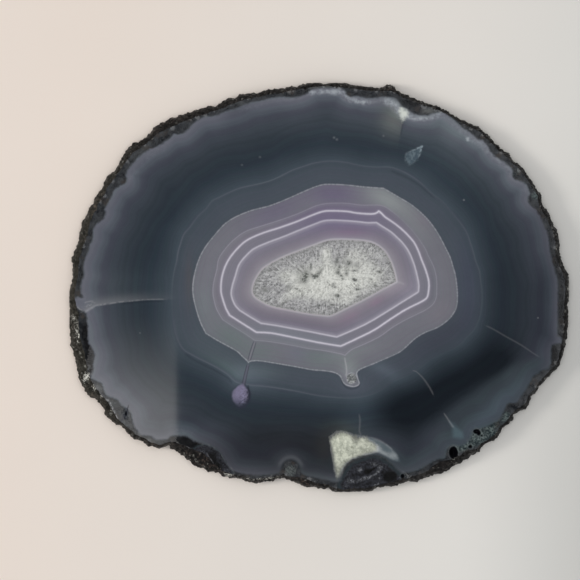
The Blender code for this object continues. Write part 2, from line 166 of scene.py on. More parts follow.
# Where the dark rind meets the pale halo inside it.
HALO = [
    (240, 107), (246, 104), (253, 102), (260, 101), (267, 99), (274, 97.5),
    (280, 97), (285, 97), (290, 97.5), (297, 97), (303, 95.5), (308, 93),
    (311, 90), (318, 88.5), (330, 88), (338, 88.5), (344, 90), (346, 94),
    (350, 97), (356, 96), (362, 97), (368, 98.5), (375, 98), (382, 97),
    (388, 97), (394, 98), (398, 101), (402, 106), (409, 110.5), (414, 114),
    (421, 115.6), (429, 115), (436, 112.6), (444, 113), (450, 117), (455, 121),
    (459, 125), (464, 129), (470, 132), (474, 136), (478, 139.5), (482, 140),
    (485, 143), (488, 147), (490, 151), (493, 154.5), (497, 157.5), (502, 160.5),
    (507, 164), (511, 168), (513, 172), (512, 176), (515, 179.5), (520, 181),
    (524, 182.5), (527, 186), (529, 190), (530, 194), (528, 198), (528.5, 203),
    (531, 206), (535, 209), (538, 213), (541, 218), (543, 224), (546, 230),
    (548, 236), (549, 243), (549.5, 250), (551, 256), (552, 262), (554, 267),
    (555, 272), (557.5, 280), (557.5, 300), (557.5, 320), (557.5, 335), (561, 338),
    (561, 343), (552, 345), (551, 355), (551, 362), (549, 368), (546, 369),
    (541, 371), (537, 374), (533, 376), (531, 381), (528, 386), (525, 391),
    (521, 396), (519, 400), (516, 403), (511, 403), (507, 404), (505, 408),
    (503, 413), (500, 418), (497, 421), (488, 426), (480, 428.5), (474, 430),
    (471, 437), (467, 443), (461, 446), (455, 446), (449, 447), (446, 452),
    (445, 458), (438, 459), (432, 462), (425, 466), (418, 470), (410, 472),
    (404, 473), (402, 473), (396, 468), (390, 462), (383, 457), (374, 454.5),
    (366, 455), (358, 458), (350, 460), (343, 470), (341, 480), (336, 482),
    (330, 481), (318, 478), (304, 475), (300, 470), (297, 463), (290, 460.5),
    (284, 463), (282, 470), (275, 474), (260, 475), (245, 474), (233, 471),
    (229, 467), (226, 462), (223, 457), (220, 452), (214, 448), (207, 445),
    (200, 443), (194, 441), (188, 437), (180, 435.5), (174, 435.5), (170, 437),
    (166, 439.5), (160, 440), (156, 440), (152, 437), (147, 435.5), (141, 435),
    (138, 431), (134, 426), (132.5, 420), (131, 413), (127, 409), (121, 405),
    (118, 400), (113, 398), (107, 396), (104, 390), (102, 384), (97, 381),
    (91, 378), (93, 372), (93.5, 365), (94.5, 357), (94, 351), (90, 345),
    (88, 340), (88, 330), (87, 320), (86, 313), (80, 309), (75, 305),
    (74, 300), (77, 297.5), (83, 298), (82, 295), (80.5, 290), (81, 285),
    (82, 280), (84.5, 275), (83.5, 270), (84, 262), (87, 255), (89, 250),
    (90, 245), (92.5, 240), (93, 235), (93.5, 228), (98, 223), (103, 219.5),
    (106, 214), (105, 209), (108, 203), (111, 198), (113, 192), (117, 187.5),
    (122, 185), (126, 182.5), (126.5, 178), (126, 174), (128, 169.5), (131, 165),
    (135, 161), (140, 155.5), (145, 152.5), (150, 149), (156, 147), (162, 144),
    (167, 140), (171, 137), (174, 134), (178, 134.5), (184, 133), (188, 129),
    (193, 124), (198, 120), (203, 117.5), (208, 116.5), (215, 116), (222, 113),
    (228, 110.5), (234, 109),
]

# Growth lines from the outside in. The first is a faint pair.
LINE_F = [
    (190, 227), (198, 216), (206, 208.7), (212, 201), (220, 197), (230, 192),
    (240, 188), (250, 185.7), (260, 183.6), (271, 180.4), (281, 176), (292, 170.3),
    (303, 166.5), (313, 163.3), (329, 161), (346, 162.3), (360, 165.5), (375, 167),
    (389, 167), (398, 169.5), (409, 174.5), (421, 183), (431, 192.7), (442, 201),
    (447, 206.5), (455, 216), (461, 223.6), (466.5, 232), (470, 241.7), (473, 251),
    (476, 262), (479.5, 271), (480.5, 280), (482, 290), (482, 303), (480.5, 314),
    (478, 322), (474, 330), (467, 337), (461, 344), (453, 349), (445, 352.5),
    (437, 356.4), (428, 361), (422, 366.5), (415, 371.3), (405, 376.7), (394, 381),
    (380, 390.8), (366, 396), (352, 398), (336, 397.5), (321, 396), (311.6, 394.4),
    (297, 391.4), (280, 388.4), (261, 386), (251.6, 385.4), (245, 384), (236, 382),
    (229, 375.6), (223, 371.3), (212, 365), (201, 359.6), (191, 354.3), (183, 349),
    (177, 338), (173.5, 322), (172, 305), (172, 288), (174, 272), (176.5, 262),
    (178, 252), (181, 242), (184, 234),
]
LINE_1 = [
    (330, 184.3), (346, 185), (365, 187), (383.4, 188.3), (398, 196.8), (413, 206),
    (426, 217.7), (435, 229), (441.5, 240), (445.5, 248), (450, 257), (453, 267),
    (455.5, 276), (457, 288), (457.4, 297), (456.4, 307), (451.6, 316), (445, 322.4),
    (437, 327.6), (426, 332), (417.5, 336.7), (411, 342), (404.7, 348), (398.3, 352.7),
    (385.5, 358.5), (372.7, 364), (361, 368.7), (357, 372), (356.8, 375), (358.2, 380),
    (359.2, 383.6), (356.5, 386), (352.4, 386.5), (348, 385.5), (345, 384), (342.8, 381.4),
    (341.5, 378), (340, 375.6), (336.8, 373.4), (332, 371.8), (323.6, 370.6), (312.8, 369.8),
    (302, 367.8), (290, 365.6), (275.6, 363.2), (260, 360.8), (251, 361), (248.3, 362.6),
    (247.4, 361), (242, 356), (236, 350.5), (218.8, 341.1), (205.9, 333.3), (200.3, 321.7),
    (195.7, 306.9), (192.9, 292.1), (193.9, 277.3), (198.5, 260.6), (205, 247.7),
    (215.1, 234.7), (225.3, 223.6), (237.3, 216.2), (252.1, 210.3), (268.8, 206.1),
    (283.6, 200.5), (298.4, 194), (313.2, 187.6), (322.4, 184.8),
]
LINE_2 = [
    (330, 203.3), (346, 203.3), (362, 205.2), (381, 205.5), (392, 211.5), (404, 222),
    (415, 234), (424.6, 247.7), (428.2, 255.7), (432.7, 264.6), (435.4, 272.7), (436.7, 281.6),
    (436.7, 290), (436.3, 297), (433, 304), (426, 309.6), (416.7, 314.3), (405.6, 319.8),
    (392.7, 327.2), (379.7, 336.5), (364.9, 343.8), (352, 349.4), (345, 355.3), (340, 353.7),
    (324, 350.5), (308, 348.4), (292, 345.2), (276, 342.5), (265, 341), (255.7, 340.4),
    (254.1, 339.9), (244, 333), (233.3, 326.5), (222.7, 319.6), (216.8, 309.5), (214.1, 300),
    (212.9, 291.3), (214.1, 280.7), (216.8, 270), (218.8, 258.8), (226.2, 247.7), (235.5, 238.4),
    (246.6, 231), (263.2, 225.5), (281.7, 219.6), (298.4, 213.5), (313.2, 207), (320.6, 204.6),
]
LINE_3 = [
    (330, 210.8), (346, 211.3), (356.7, 213), (370.5, 214), (376, 213.1), (378.9, 211.1),
    (381.2, 213), (385.5, 217.2), (394, 223), (401.5, 229), (408, 235.3), (414.3, 242.8),
    (418.5, 251.3), (421.7, 260), (425.5, 269.5), (428.7, 281), (428.7, 290.2), (426.9, 297.6),
    (421.3, 301.7), (405.6, 309.6), (390.8, 318.9), (374.2, 330), (357.5, 338.3), (340.9, 346.1),
    (334.7, 345.2), (318.7, 342.5), (302.7, 339.3), (286.7, 336), (270.7, 333), (256.3, 332.2),
    (244, 324.4), (229.6, 315.3), (225.9, 308.4), (222.7, 298.8), (221, 291.3), (221.6, 279.1),
    (225.3, 266.2), (231.8, 255.1), (242, 244), (250.3, 238.4), (263.2, 232.9), (281.7, 227),
    (298.4, 220.9), (313.2, 214.8), (322.4, 211.6),
]
LINE_4 = [
    (330, 220.2), (340.7, 220.4), (356.7, 221.5), (367.3, 222.7), (376.4, 222.5), (381.2, 225.7),
    (389.7, 231), (396, 236.4), (402.5, 242.8), (408, 250.3), (412, 258.8), (415.3, 268.4),
    (418.6, 282.8), (418.6, 291.1), (416.7, 293), (401.9, 302.2), (387.1, 311.5), (368.6, 322.6),
    (352, 330.5), (336.8, 337), (324, 334.5), (308, 331.3), (292, 328.5), (276, 325.5),
    (261, 323.3), (249.3, 316.4), (239.2, 310), (234.4, 304), (231.2, 294.5), (232.3, 286),
    (235, 277), (239.2, 264.3), (248.4, 253.2), (255.8, 247.7), (268.8, 242.1), (283.6, 236.6),
    (298.4, 230.5), (313.2, 224.6), (322.4, 221.2),
]
# Outline of the quartz in the middle.
QUARTZ = [
    (337, 239), (356, 239.6), (370, 241.4), (379.5, 246), (387, 253.4), (392.5, 264.4),
    (395.8, 275.4), (397, 282), (383.4, 289.2), (365, 299.4), (346.4, 308.6), (333.5, 315),
    (328, 316.3), (309.5, 314.2), (291, 310.8), (272.5, 307), (261.6, 302), (254.2, 296.6),
    (252, 290.2), (254.2, 281.2), (259.7, 271.8), (265.2, 266.4), (280, 258), (298.4, 250.6),
    (313.2, 245), (326, 240.4),
]

# Stations where a line turns sharply.
SHARP = {
    "one": ((248.3, 362.6), (383.4, 188.3), (205.9, 333.3)),
    "two": ((254.1, 339.9), (345, 355.3), (222.7, 319.6)),
    "three": ((229.6, 315.3), (256.3, 332.2), (340.9, 346.1), (378.9, 211.1)),
    "four": ((239.2, 310), (261, 323.3), (336.8, 337), (376.4, 222.5), (418.6, 291.1)),
    "core": ((397, 282), (328, 316.3)),
}

# Pits between the quartz crystals: middle, half width, half height, depth in mm.
PITS = [
    (315, 276.6, 2.2, 1.9, 0.30), (304.6, 278, 2.2, 2.4, 0.22), (334.5, 286, 1.8, 1.8, 0.20),
    (337.6, 295.8, 1.9, 1.7, 0.24), (357.8, 289, 2.2, 1.6, 0.20), (355, 280, 1.8, 1.6, 0.20),
    (354.6, 271, 2.2, 1.4, 0.16), (339.4, 273, 1.6, 2.4, 0.18), (349, 264, 2.2, 2.4, 0.12),
    (379.4, 272, 2.2, 1.4, 0.16), (298, 289.4, 2.4, 1.4, 0.14), (358.5, 296.6, 1.6, 1.4, 0.16),
    (342.6, 279, 1.4, 1.2, 0.12), (333, 305, 1.8, 1.2, 0.12), (319.4, 305.5, 1.5, 1.3, 0.12),
]
# Darker and lighter places in the quartz: middle, half width, half height,
# turn in degrees, strength from -1 (dark) to 1 (light). The dark ones over the
# pits are painted shade in them.
QUARTZ_SPOTS = [
    (315.2, 276.5, 2.2, 1.7, 15, -1.15), (317.8, 274.2, 4.4, 1.9, 48, -0.45),
    (321.5, 270.5, 3.6, 1.3, 50, -0.22), (311.8, 274.4, 1.8, 1.3, -40, -0.35),
    (305.6, 274.6, 2.6, 3.4, 0, -0.42), (303.6, 279.4, 2.2, 2.2, 0, -0.55),
    (306.2, 277.2, 1.1, 1.3, 0, -0.45), (304, 277.5, 6.0, 7.5, 0, -0.24),
    (310.9, 266.4, 0.9, 3.2, 0, -0.5), (337.0, 260.5, 1.5, 5.0, -12, -0.38),
    (338.8, 268, 1.4, 4.0, -14, -0.42), (338.0, 272.8, 2.2, 1.5, 0, -0.5),
    (341.0, 275.6, 2.0, 1.3, -30, -0.5), (342.6, 278.9, 1.2, 0.9, 0, -0.6),
    (349.0, 263.1, 3.2, 3.6, 0, -0.36), (346.8, 272.6, 1.7, 3.2, 0, -0.42),
    (357.3, 265.4, 3.0, 3.0, 0, -0.22), (354.5, 270.7, 3.2, 0.9, 0, -0.48),
    (355.0, 280.2, 2.2, 1.2, 0, -0.85), (353.4, 279.0, 1.4, 1.2, 0, -0.5),
    (358.0, 289.0, 2.8, 0.9, 0, -0.80), (357.0, 290.0, 1.2, 0.9, 0, -0.4),
    (358.5, 296.6, 1.9, 0.9, 0, -0.6), (337.2, 295.7, 1.9, 1.4, 0, -1.05),
    (332.8, 285.2, 1.4, 2.2, -20, -0.62), (335.4, 287.2, 1.3, 1.2, 0, -0.45),
    (344.9, 284, 4.0, 3.4, 0, 0.20), (379.0, 271.8, 2.4, 0.9, -15, -0.7),
    (371, 279.4, 1.5, 1.2, 0, -0.4), (375.2, 285.4, 1.4, 1.3, 0, -0.45),
    (296.6, 288.8, 2.4, 0.9, -10, -0.65), (299.6, 290.8, 1.8, 0.9, -30, -0.4),
    (319.0, 305.5, 1.5, 1.1, 0, -0.55), (332.4, 305, 2.1, 0.9, 0, -0.62),
    (329, 309, 1.4, 1.2, 0, -0.35), (264.4, 289.5, 3.6, 2.6, 0, -0.30),
    (268.9, 270.6, 2.2, 0.9, 0, -0.45), (283.4, 303.0, 5.0, 1.0, 30, -0.28),
    (288.8, 286.8, 2.8, 2.3, 0, -0.22), (327.5, 268, 3.4, 15, 6, 0.34),
    (290.0, 293.0, 9.0, 2.0, 32, 0.42), (323, 292, 8.0, 6.0, 0, 0.30),
    (318.0, 285.0, 8.0, 3.6, -20, 0.30), (297, 297, 3.0, 5.0, -20, 0.22),
    (366, 258, 6.0, 6.0, 0, 0.14),
    (352, 252, 6.0, 5.0, 0, 0.28), (325.5, 250.5, 3.2, 4.0, 0, 0.30),
    (366, 276, 7.0, 4.0, 20, 0.12), (345.0, 257, 2.0, 6.0, -10, -0.12),
]
# Where the quartz is milky, in the same form.
MILKY = [
    (331, 280, 34, 18, -5, 1.0), (300, 283, 20, 12, -20, 0.36), (368, 274, 24, 17, 0, 0.52), (320, 296, 14, 6, 0, 0.4),
    (356, 254, 16, 8, 0, 0.45), (326, 255, 6, 9, 0, 0.60), (290, 296, 14, 6, 30, 0.50),
    (280, 275, 13, 8, 0, 0.28), (345, 300, 14, 7, 20, 0.35),
]

# Open places in the rind and the tube's eye.
HOLES = [
    (351.4, 378.6, 4.0, 4.6, 0.16),
    (453.6, 452.6, 3.9, 5.4, 1.70),
    (476.6, 431.6, 3.4, 2.4, 1.10),
    (479.0, 433.2, 2.2, 2.4, 1.00),
    (481.6, 435.8, 1.9, 1.6, 0.60),
    (470.5, 446.5, 2.4, 2.1, 0.80),
    (477.6, 450.2, 2.6, 1.8, 0.80),
    (402.6, 476.2, 2.0, 2.4, 0.90),
    (126.0, 413.6, 1.3, 3.4, 0.60),
]

# Coarse crystals at the lower rim, and the lumpy rind below them.
CRYSTALS = [
    (329.0, 440), (331.2, 435.5), (335.5, 432.0), (341, 430.6), (346, 431.6), (350, 433.0), (354, 434.6),
    (358, 435.6), (361, 435.8), (364, 436.2), (368, 438.4), (374, 441.3), (378, 445.5),
    (378, 451.8), (369, 454.6), (360, 457.2), (352, 460.2), (347.0, 464), (343.0, 470), (340.0, 477),
    (336.4, 480.6), (333.8, 471), (332.0, 456), (330.2, 447),
]
LUMPY_RIND = [
    (337, 484), (342.5, 475), (347, 467), (353, 461.5), (361, 459), (368, 456.6), (375, 456),
    (383, 458.5), (390, 463), (396, 469), (402, 474), (405, 482), (396, 488), (376, 494),
    (356, 496), (338, 494),
]
# Lumps (above 0) and hollows (below 0) on it. Besides the relief they set the
# colour: lumps grey, hollows near-black, partly the rind's own tone and partly
# painted highlight and painted shade.
LUMPS = [
    (360.5, 470.0, 3.2, 2.6, 0, 0.75), (377.5, 472.5, 4.6, 1.3, 38, 0.75),
    (370.0, 477.0, 4.0, 1.3, 30, 0.75), (379.0, 466.5, 4.0, 2.6, -20, 0.62),
    (373.5, 464.0, 3.0, 2.4, 0, 0.45), (362.5, 479.0, 6.0, 2.0, 28, 0.60),
    (351.0, 481.0, 5.0, 3.2, 0, 0.50), (348.0, 472.0, 3.4, 4.5, 0, 0.20),
    (379.5, 478.4, 2.2, 2.4, 0, 0.55), (377.0, 484.5, 5.0, 1.5, 22, 0.55),
    (400.0, 478.0, 2.6, 2.0, 0, 0.50), (345.0, 486.0, 4.0, 2.0, 0, 0.30),
    (357.0, 462.5, 5.0, 2.4, 0, 0.22), (366.5, 488.0, 3.0, 1.6, 40, 0.35),
    (353.0, 475.6, 2.6, 2.6, 0, -0.60), (360.0, 475.0, 3.0, 1.6, 0, -0.55), (357.0, 485.0, 6.0, 2.0, 10, -0.5),
    (367.0, 471.6, 4.4, 3.0, 0, -1.0), (374.0, 468.4, 4.4, 1.2, 30, -0.8),
    (390.0, 476.5, 7.0, 5.0, 10, -1.3), (382.0, 472.0, 1.6, 1.4, 0, -0.6),
    (370.0, 483.0, 5.0, 2.0, 20, -0.40), (350.0, 466.0, 3.0, 3.0, 0, -0.20),
]
# Broken crust on the face at the lower left.
CRUST = [
    (193, 450), (199, 446), (206, 445), (213, 447), (219, 452), (224, 460), (229, 467), (233, 473),
    (225, 475), (215, 470), (206, 464), (199, 457),
]
CRUST_TONES = [
    (212, 458, 4, 8, 20, -0.75), (203, 453, 4, 3, 0, 0.40), (219, 466, 3.5, 5, 30, -0.6),
    (208, 463, 3.4, 2, 30, 0.45), (216, 453, 3, 4, 0, -0.3), (226, 471, 4, 2, 30, 0.3),
]
# The healed crack on the left: stations (x, y, half width).
LEFT_CRACK = [
    (84, 312.4, 1.2), (90, 309, 1.2), (95, 306.2, 1.1), (100, 305, 1.0), (110, 303.5, 0.9),
    (120, 302, 0.8), (130, 301, 0.8), (140, 300, 0.75), (150, 299.5, 0.7), (160, 299.3, 0.7),
    (167, 299.5, 0.6),
]
# Thin veins and healed cracks: stations, strength.
VEINS = [
    (LEFT_CRACK[:4], 0.30),
    (LEFT_CRACK[2:], 0.17),
    ([(84, 303.2, 0.7), (88, 301.5, 0.7), (94, 301, 0.6)], 0.20),
    ([(77, 306, 0.6), (80, 309.5, 0.9), (84, 311.5, 0.9)], 0.35),
    ([(484, 325, 0.7), (492, 328.5, 0.8), (505, 336, 0.8), (516, 342, 0.8), (525, 347.5, 0.8),
      (533, 353, 0.7), (541, 358, 0.6)], 0.08),
    ([(412, 370.5, 0.6), (416, 371.5, 0.6), (420.7, 375.6, 0.7), (426, 382, 0.8),
      (431, 390, 0.8), (434, 396, 0.6)], 0.12),
    ([(443.5, 412.5, 0.6), (447.5, 418.5, 0.8), (451, 424, 0.9), (454, 428, 1.0)], 0.18),
    ([(359, 413, 0.8), (360, 421, 0.9), (359.5, 428, 0.9), (359.6, 432, 0.9),
      (361.5, 436, 1.0)], 0.10),
    ([(366, 437, 0.9), (374, 438.2, 1.0), (381, 441, 1.0), (388, 446, 1.0), (393, 450, 1.0)], 0.10),
    ([(344.6, 357, 0.8), (345.2, 361, 0.8), (346.2, 366, 0.9), (346.6, 372.4, 1.0),
      (345.6, 377, 0.9)], 0.40),
    ([(174, 443.5, 0.5), (178, 444, 0.6), (187, 447, 0.6), (195, 451, 0.6)], 0.26),
    ([(206, 452, 0.5), (209, 457, 0.6), (212, 461, 0.5), (214, 466, 0.5)], 0.16),
    ([(88, 377, 0.7), (93, 385.5, 0.7), (98.5, 392, 0.8), (103, 397.5, 0.8), (109, 401, 0.7), (112.5, 408, 0.8), (116, 416, 0.8), (119.8, 423.5, 0.7)], 0.46),
    ([(397.5, 281.8, 1.3), (401, 283, 1.3), (405, 284.4, 1.0)], 0.22),
]
# Thin dark lines, in the same form.
SEAMS = [
    ([(120, 304.0, 0.9), (130, 303.0, 1.0), (140, 302.0, 1.0), (150, 301.5, 1.0),
      (166, 301.5, 0.9)], 0.30),
    ([(129, 404, 0.5), (127.8, 408, 0.8), (126.4, 413, 1.2), (124.5, 416.5, 1.4),
      (122, 420.5, 0.9), (120.5, 425, 0.7)], 0.95),
    ([(183, 352.5, 1.2), (191, 358, 1.4), (201, 363.3, 1.4), (212, 368.7, 1.4), (223, 375, 1.3),
      (229, 379.3, 1.1), (233, 384.5, 0.9)], 0.30),
    ([(389, 169.7, 1.0), (396, 173, 1.2), (405, 176.7, 1.2), (413, 181, 1.1), (421, 186.4, 1.1),
      (428, 192.7, 1.0), (437, 200.6, 0.9)], 0.25),
    ([(248.0, 384.5, 0.8), (248.6, 389, 1.1), (249.2, 394, 1.3), (248.2, 399, 1.3),
      (245.4, 403, 1.2)], 0.55),
    ([(403.5, 121, 0.9), (402, 128, 1.0), (400.6, 136, 0.9)], 0.30),
    ([(341.5, 376.5, 0.8), (342.2, 382, 0.9), (346, 387.2, 0.9), (352, 388.8, 1.0),
      (358, 387, 0.9), (360.8, 383, 0.8)], 0.34),
]
# The two feeder tubes' necks: stations (x, y, half width), strength.
TUBES = [
    ([(255.2, 341, 1.0), (253.8, 345, 1.35), (251.9, 351, 1.4), (250.2, 356.5, 1.35),
      (248.9, 361, 1.0)], 0.80),
    ([(248.4, 363.5, 1.0), (247.2, 368.5, 1.25), (245.8, 374, 1.35), (244.6, 379.5, 1.4),
      (243.4, 385, 1.4), (242.6, 391, 1.2)], 0.90),
]
# Pale inclusion near the top right.
DIAMOND = [
    (422.2, 146.2), (420.4, 151), (419.6, 155.5), (418.4, 159.4), (415.6, 160.8),
    (412.2, 164.4), (408.2, 165), (405.4, 160), (405.8, 153.4), (411, 151), (416.6, 149),
]
# White patch in the rind at the top right.
WHITE_PATCH = [
    (400, 107.4), (402, 107.4), (404.4, 109.4), (407.4, 110), (408.8, 113), (408.4, 116),
    (405.4, 118), (403.2, 121.5), (401.2, 118.6), (399.6, 114.6), (398.8, 111),
]
# Bluish translucent tongue beside the crystals.
TONGUE = [
    (364, 437), (372, 437.4), (380, 440.6), (387, 444.6), (393, 449.4), (398, 455.4),
    (400, 461), (396, 461.6), (390, 459), (384, 455.4), (378, 452.8), (371, 452.4),
    (369, 446), (366, 441),
]
# Pale specks: middle, size, strength.
SPECKS = [
    (334.0, 137.6, 2.2, 0.30), (336.8, 139.4, 2.2, 0.28), (383.5, 136, 2.2, 0.24),
    (260, 157, 2.2, 0.22), (242, 165, 2.0, 0.20), (464, 200, 1.8, 0.5), (538, 318, 1.6, 0.4),
    (140, 333, 1.5, 0.35),
]
EYE = (240.2, 395.0, 8.8, 11.2)  # middle and half sizes
ARCH = (290.5, 471.0, 6.0, 7.0)
# Inner limit of the paler band under the lower right rim.
LOWER_BAND = [(405, 462), (425, 441), (444, 414), (468, 394), (491, 376), (517, 362), (545, 352)]


# -------------------------------------------------------------------- measuring
def place(points):
    """Grid points to metres about the origin."""
    points = np.asarray(points, dtype=float)
    return np.stack(
        ((points[..., 0] - MIDDLE[0]) * GRID, (MIDDLE[1] - points[..., 1]) * GRID), -1
    )


def unplace(points):
    """Metres about the origin to grid points."""
    points = np.asarray(points, dtype=float)
    return np.stack(
        (points[..., 0] / GRID + MIDDLE[0], MIDDLE[1] - points[..., 1] / GRID), -1
    )


def rounded(stations, cuts=4, closed=True, sharp=()):
    """A smooth curve through the stations, as close points. It keeps a corner
    at the stations named as sharp."""
    p = np.asarray(stations, dtype=float)
    if closed:
        before, after, later = np.roll(p, 1, 0), np.roll(p, -1, 0), np.roll(p, -2, 0)
        here = p
    else:
        q = np.vstack((2 * p[0] - p[1], p, 2 * p[-1] - p[-2]))
        before, here, after, later = q[:-3], q[1:-2], q[2:-1], q[3:]
    leave, arrive = (after - before) / 2, (later - here) / 2
    for x, y in sharp:
        leave = np.where((np.hypot(here[:, 0] - x, here[:, 1] - y) < 0.01)[:, None], after - here, leave)
        arrive = np.where((np.hypot(after[:, 0] - x, after[:, 1] - y) < 0.01)[:, None], after - here, arrive)
    out = []
    for k in range(cuts):
        t = k / cuts
        out.append(
            (2 * t**3 - 3 * t * t + 1) * here
            + (t**3 - 2 * t * t + t) * leave
            + (3 * t * t - 2 * t**3) * after
            + (t**3 - t * t) * arrive
        )
    curve = np.stack(out, 1).reshape(-1, p.shape[1])
    return curve if closed else np.vstack((curve, p[-1]))


def to_segments(points, a, b):
    """For each point: distance to the nearest segment, its number, the share
    along it and the side of it."""
    d = b - a
    size = np.maximum((d[:, :2] ** 2).sum(1), 1e-12)
    best = np.empty(len(points))
    which = np.empty(len(points), dtype=int)
    along = np.empty(len(points))
    side = np.empty(len(points))
    for start in range(0, len(points), 4000):
        q = points[start : start + 4000]
        rel_x = q[:, None, 0] - a[None, :, 0]
        rel_y = q[:, None, 1] - a[None, :, 1]
        share = np.clip((rel_x * d[:, 0] + rel_y * d[:, 1]) / size, 0, 1)
        gap = np.hypot(rel_x - share * d[:, 0], rel_y - share * d[:, 1])
        k = gap.argmin(1)
        rows = np.arange(len(q))
        best[start : start + 4000] = gap[rows, k]
        which[start : start + 4000] = k
        along[start : start + 4000] = share[rows, k]
        side[start : start + 4000] = np.sign(
            d[k, 0] * rel_y[rows, k] - d[k, 1] * rel_x[rows, k]
        )
    return best, which, along, side


def within(points, loop):
    """Which points lie inside a closed loop."""
    a, b = loop, np.roll(loop, -1, 0)
    hit = np.zeros(len(points), dtype=bool)
    for (x0, y0), (x1, y1) in zip(a, b):
        if y0 == y1:
            continue
        crosses = (y0 > points[:, 1]) != (y1 > points[:, 1])
        hit ^= crosses & (
            points[:, 0] < (x1 - x0) * (points[:, 1] - y0) / (y1 - y0) + x0
        )
    return hit


def reach(points, loop):
    """Signed distance to a closed loop: negative inside."""
    gap, _, _, _ = to_segments(points, loop, np.roll(loop, -1, 0))
    return np.where(within(points, loop), -gap, gap)


def fade(value, low, high):
    t = np.clip((value - low) / (high - low), 0, 1)
    return t * t * (3 - 2 * t)


def grain(points, size, seed=0.0):
    """Smooth noise from about -1 to 1 with features of about this many steps."""
    s = 1.0 / size
    get = noise.noise
    return np.fromiter(
        (get(Vector((x * s, y * s, seed))) for x, y in points), float, len(points)
    )


def grain3(points, size, seed=0.0):
    s = 1.0 / size
    get = noise.noise
    return np.fromiter(
        (get(Vector((x * s + seed, y * s - seed, z * s))) for x, y, z in points),
        float,
        len(points),
    )


def spots(points, shapes):
    """Sum of soft spots: (x, y, half width, half height, turn, strength)."""
    total = np.zeros(len(points))
    for x, y, w, h, turn, strength in shapes:
        c, s = math.cos(math.radians(turn)), math.sin(math.radians(turn))
        dx, dy = points[:, 0] - x, points[:, 1] - y
        u, v = (dx * c - dy * s) / w, (dx * s + dy * c) / h
        total += strength * np.exp(-(u * u + v * v))
    return total


def polar_table(stations):
    xy = place(stations)
    angle = np.arctan2(xy[:, 1], xy[:, 0]) % math.tau
    radius = np.hypot(xy[:, 0], xy[:, 1])
    order = angle.argsort()
    angle, radius = angle[order], radius[order]
    return (
        np.concatenate(([angle[-1] - math.tau], angle, [angle[0] + math.tau])),
        np.concatenate(([radius[-1]], radius, [radius[0]])),
    )


def even_angles(table, count):
    fine = 8 * 720
    turn = np.arange(fine) * math.tau / fine
    radius = np.interp(turn, *table)
    span = 41
    wrapped = np.concatenate((radius[-span:], radius, radius[:span]))
    smooth = np.convolve(wrapped, np.ones(2 * span + 1) / (2 * span + 1), "valid")
    ahead = np.roll(smooth, -1)
    run = np.concatenate(
        ([0.0], np.cumsum(np.hypot(ahead - smooth, math.tau / fine * (ahead + smooth) / 2)))
    )
    goal = run[-1] * np.arange(count) / count
    return np.interp(goal, run, np.arange(fine + 1) * math.tau / fine)


RINGS = {
    "halo": rounded(HALO, 2),
    "faint": rounded(LINE_F, 3),
    "one": rounded(LINE_1, 4, sharp=SHARP["one"]),
    "two": rounded(LINE_2, 4, sharp=SHARP["two"]),
    "three": rounded(LINE_3, 4, sharp=SHARP["three"]),
    "four": rounded(LINE_4, 4, sharp=SHARP["four"]),
    "core": rounded(QUARTZ, 4, sharp=SHARP["core"]),
}
QUARTZ_LOOP = np.asarray(QUARTZ, float)
CRYSTALS_LOOP = np.asarray(CRYSTALS, float)
LUMPY_LOOP = np.asarray(LUMPY_RIND, float)
CRUST_LOOP = np.asarray(CRUST, float)
PORES = [
    (486, 432, 22, 9, 35, 1.0), (455, 450, 12, 7, 20, 0.8), (508, 415, 8, 6, 40, 0.7),
    (82, 330, 6, 26, 0, 0.8),
]


# ----------------------------------------------------------------------- relief
def bowls(points, shapes):
    """Depth in mm of the deepest bowl over each point; deep ones are funnels."""
    deep = np.zeros(len(points))
    for x, y, w, h, depth in shapes:
        away = np.hypot((points[:, 0] - x) / w, (points[:, 1] - y) / h)
        if depth > 0.5:
            share = np.clip(1 - away / 1.4, 0, 1)
        else:
            share = 1 - fade(away, 0.35, 1.35)
        deep = np.maximum(deep, depth * share)
    return deep


def facets(points, size, seed):
    """Height from -1 to 1 of a field of crystal faces, each tilted its own way,
    and a number for each crystal."""
    height = np.empty(len(points))
    mark = np.empty(len(points))
    for i, (x, y) in enumerate(points):
        _, near = noise.voronoi(Vector((x / size, y / size, seed)))
        c = near[0]
        turn = 40.0 * noise.noise(c * 3.1 + Vector((seed, 0, 0)))
        tip = noise.noise(c * 5.7 - Vector((0, seed, 0)))
        dx, dy = x / size - c.x, y / size - c.y
        height[i] = 0.9 * tip + 1.1 * (dx * math.cos(turn) + dy * math.sin(turn))
        mark[i] = tip
    return np.clip(height, -1, 1), mark


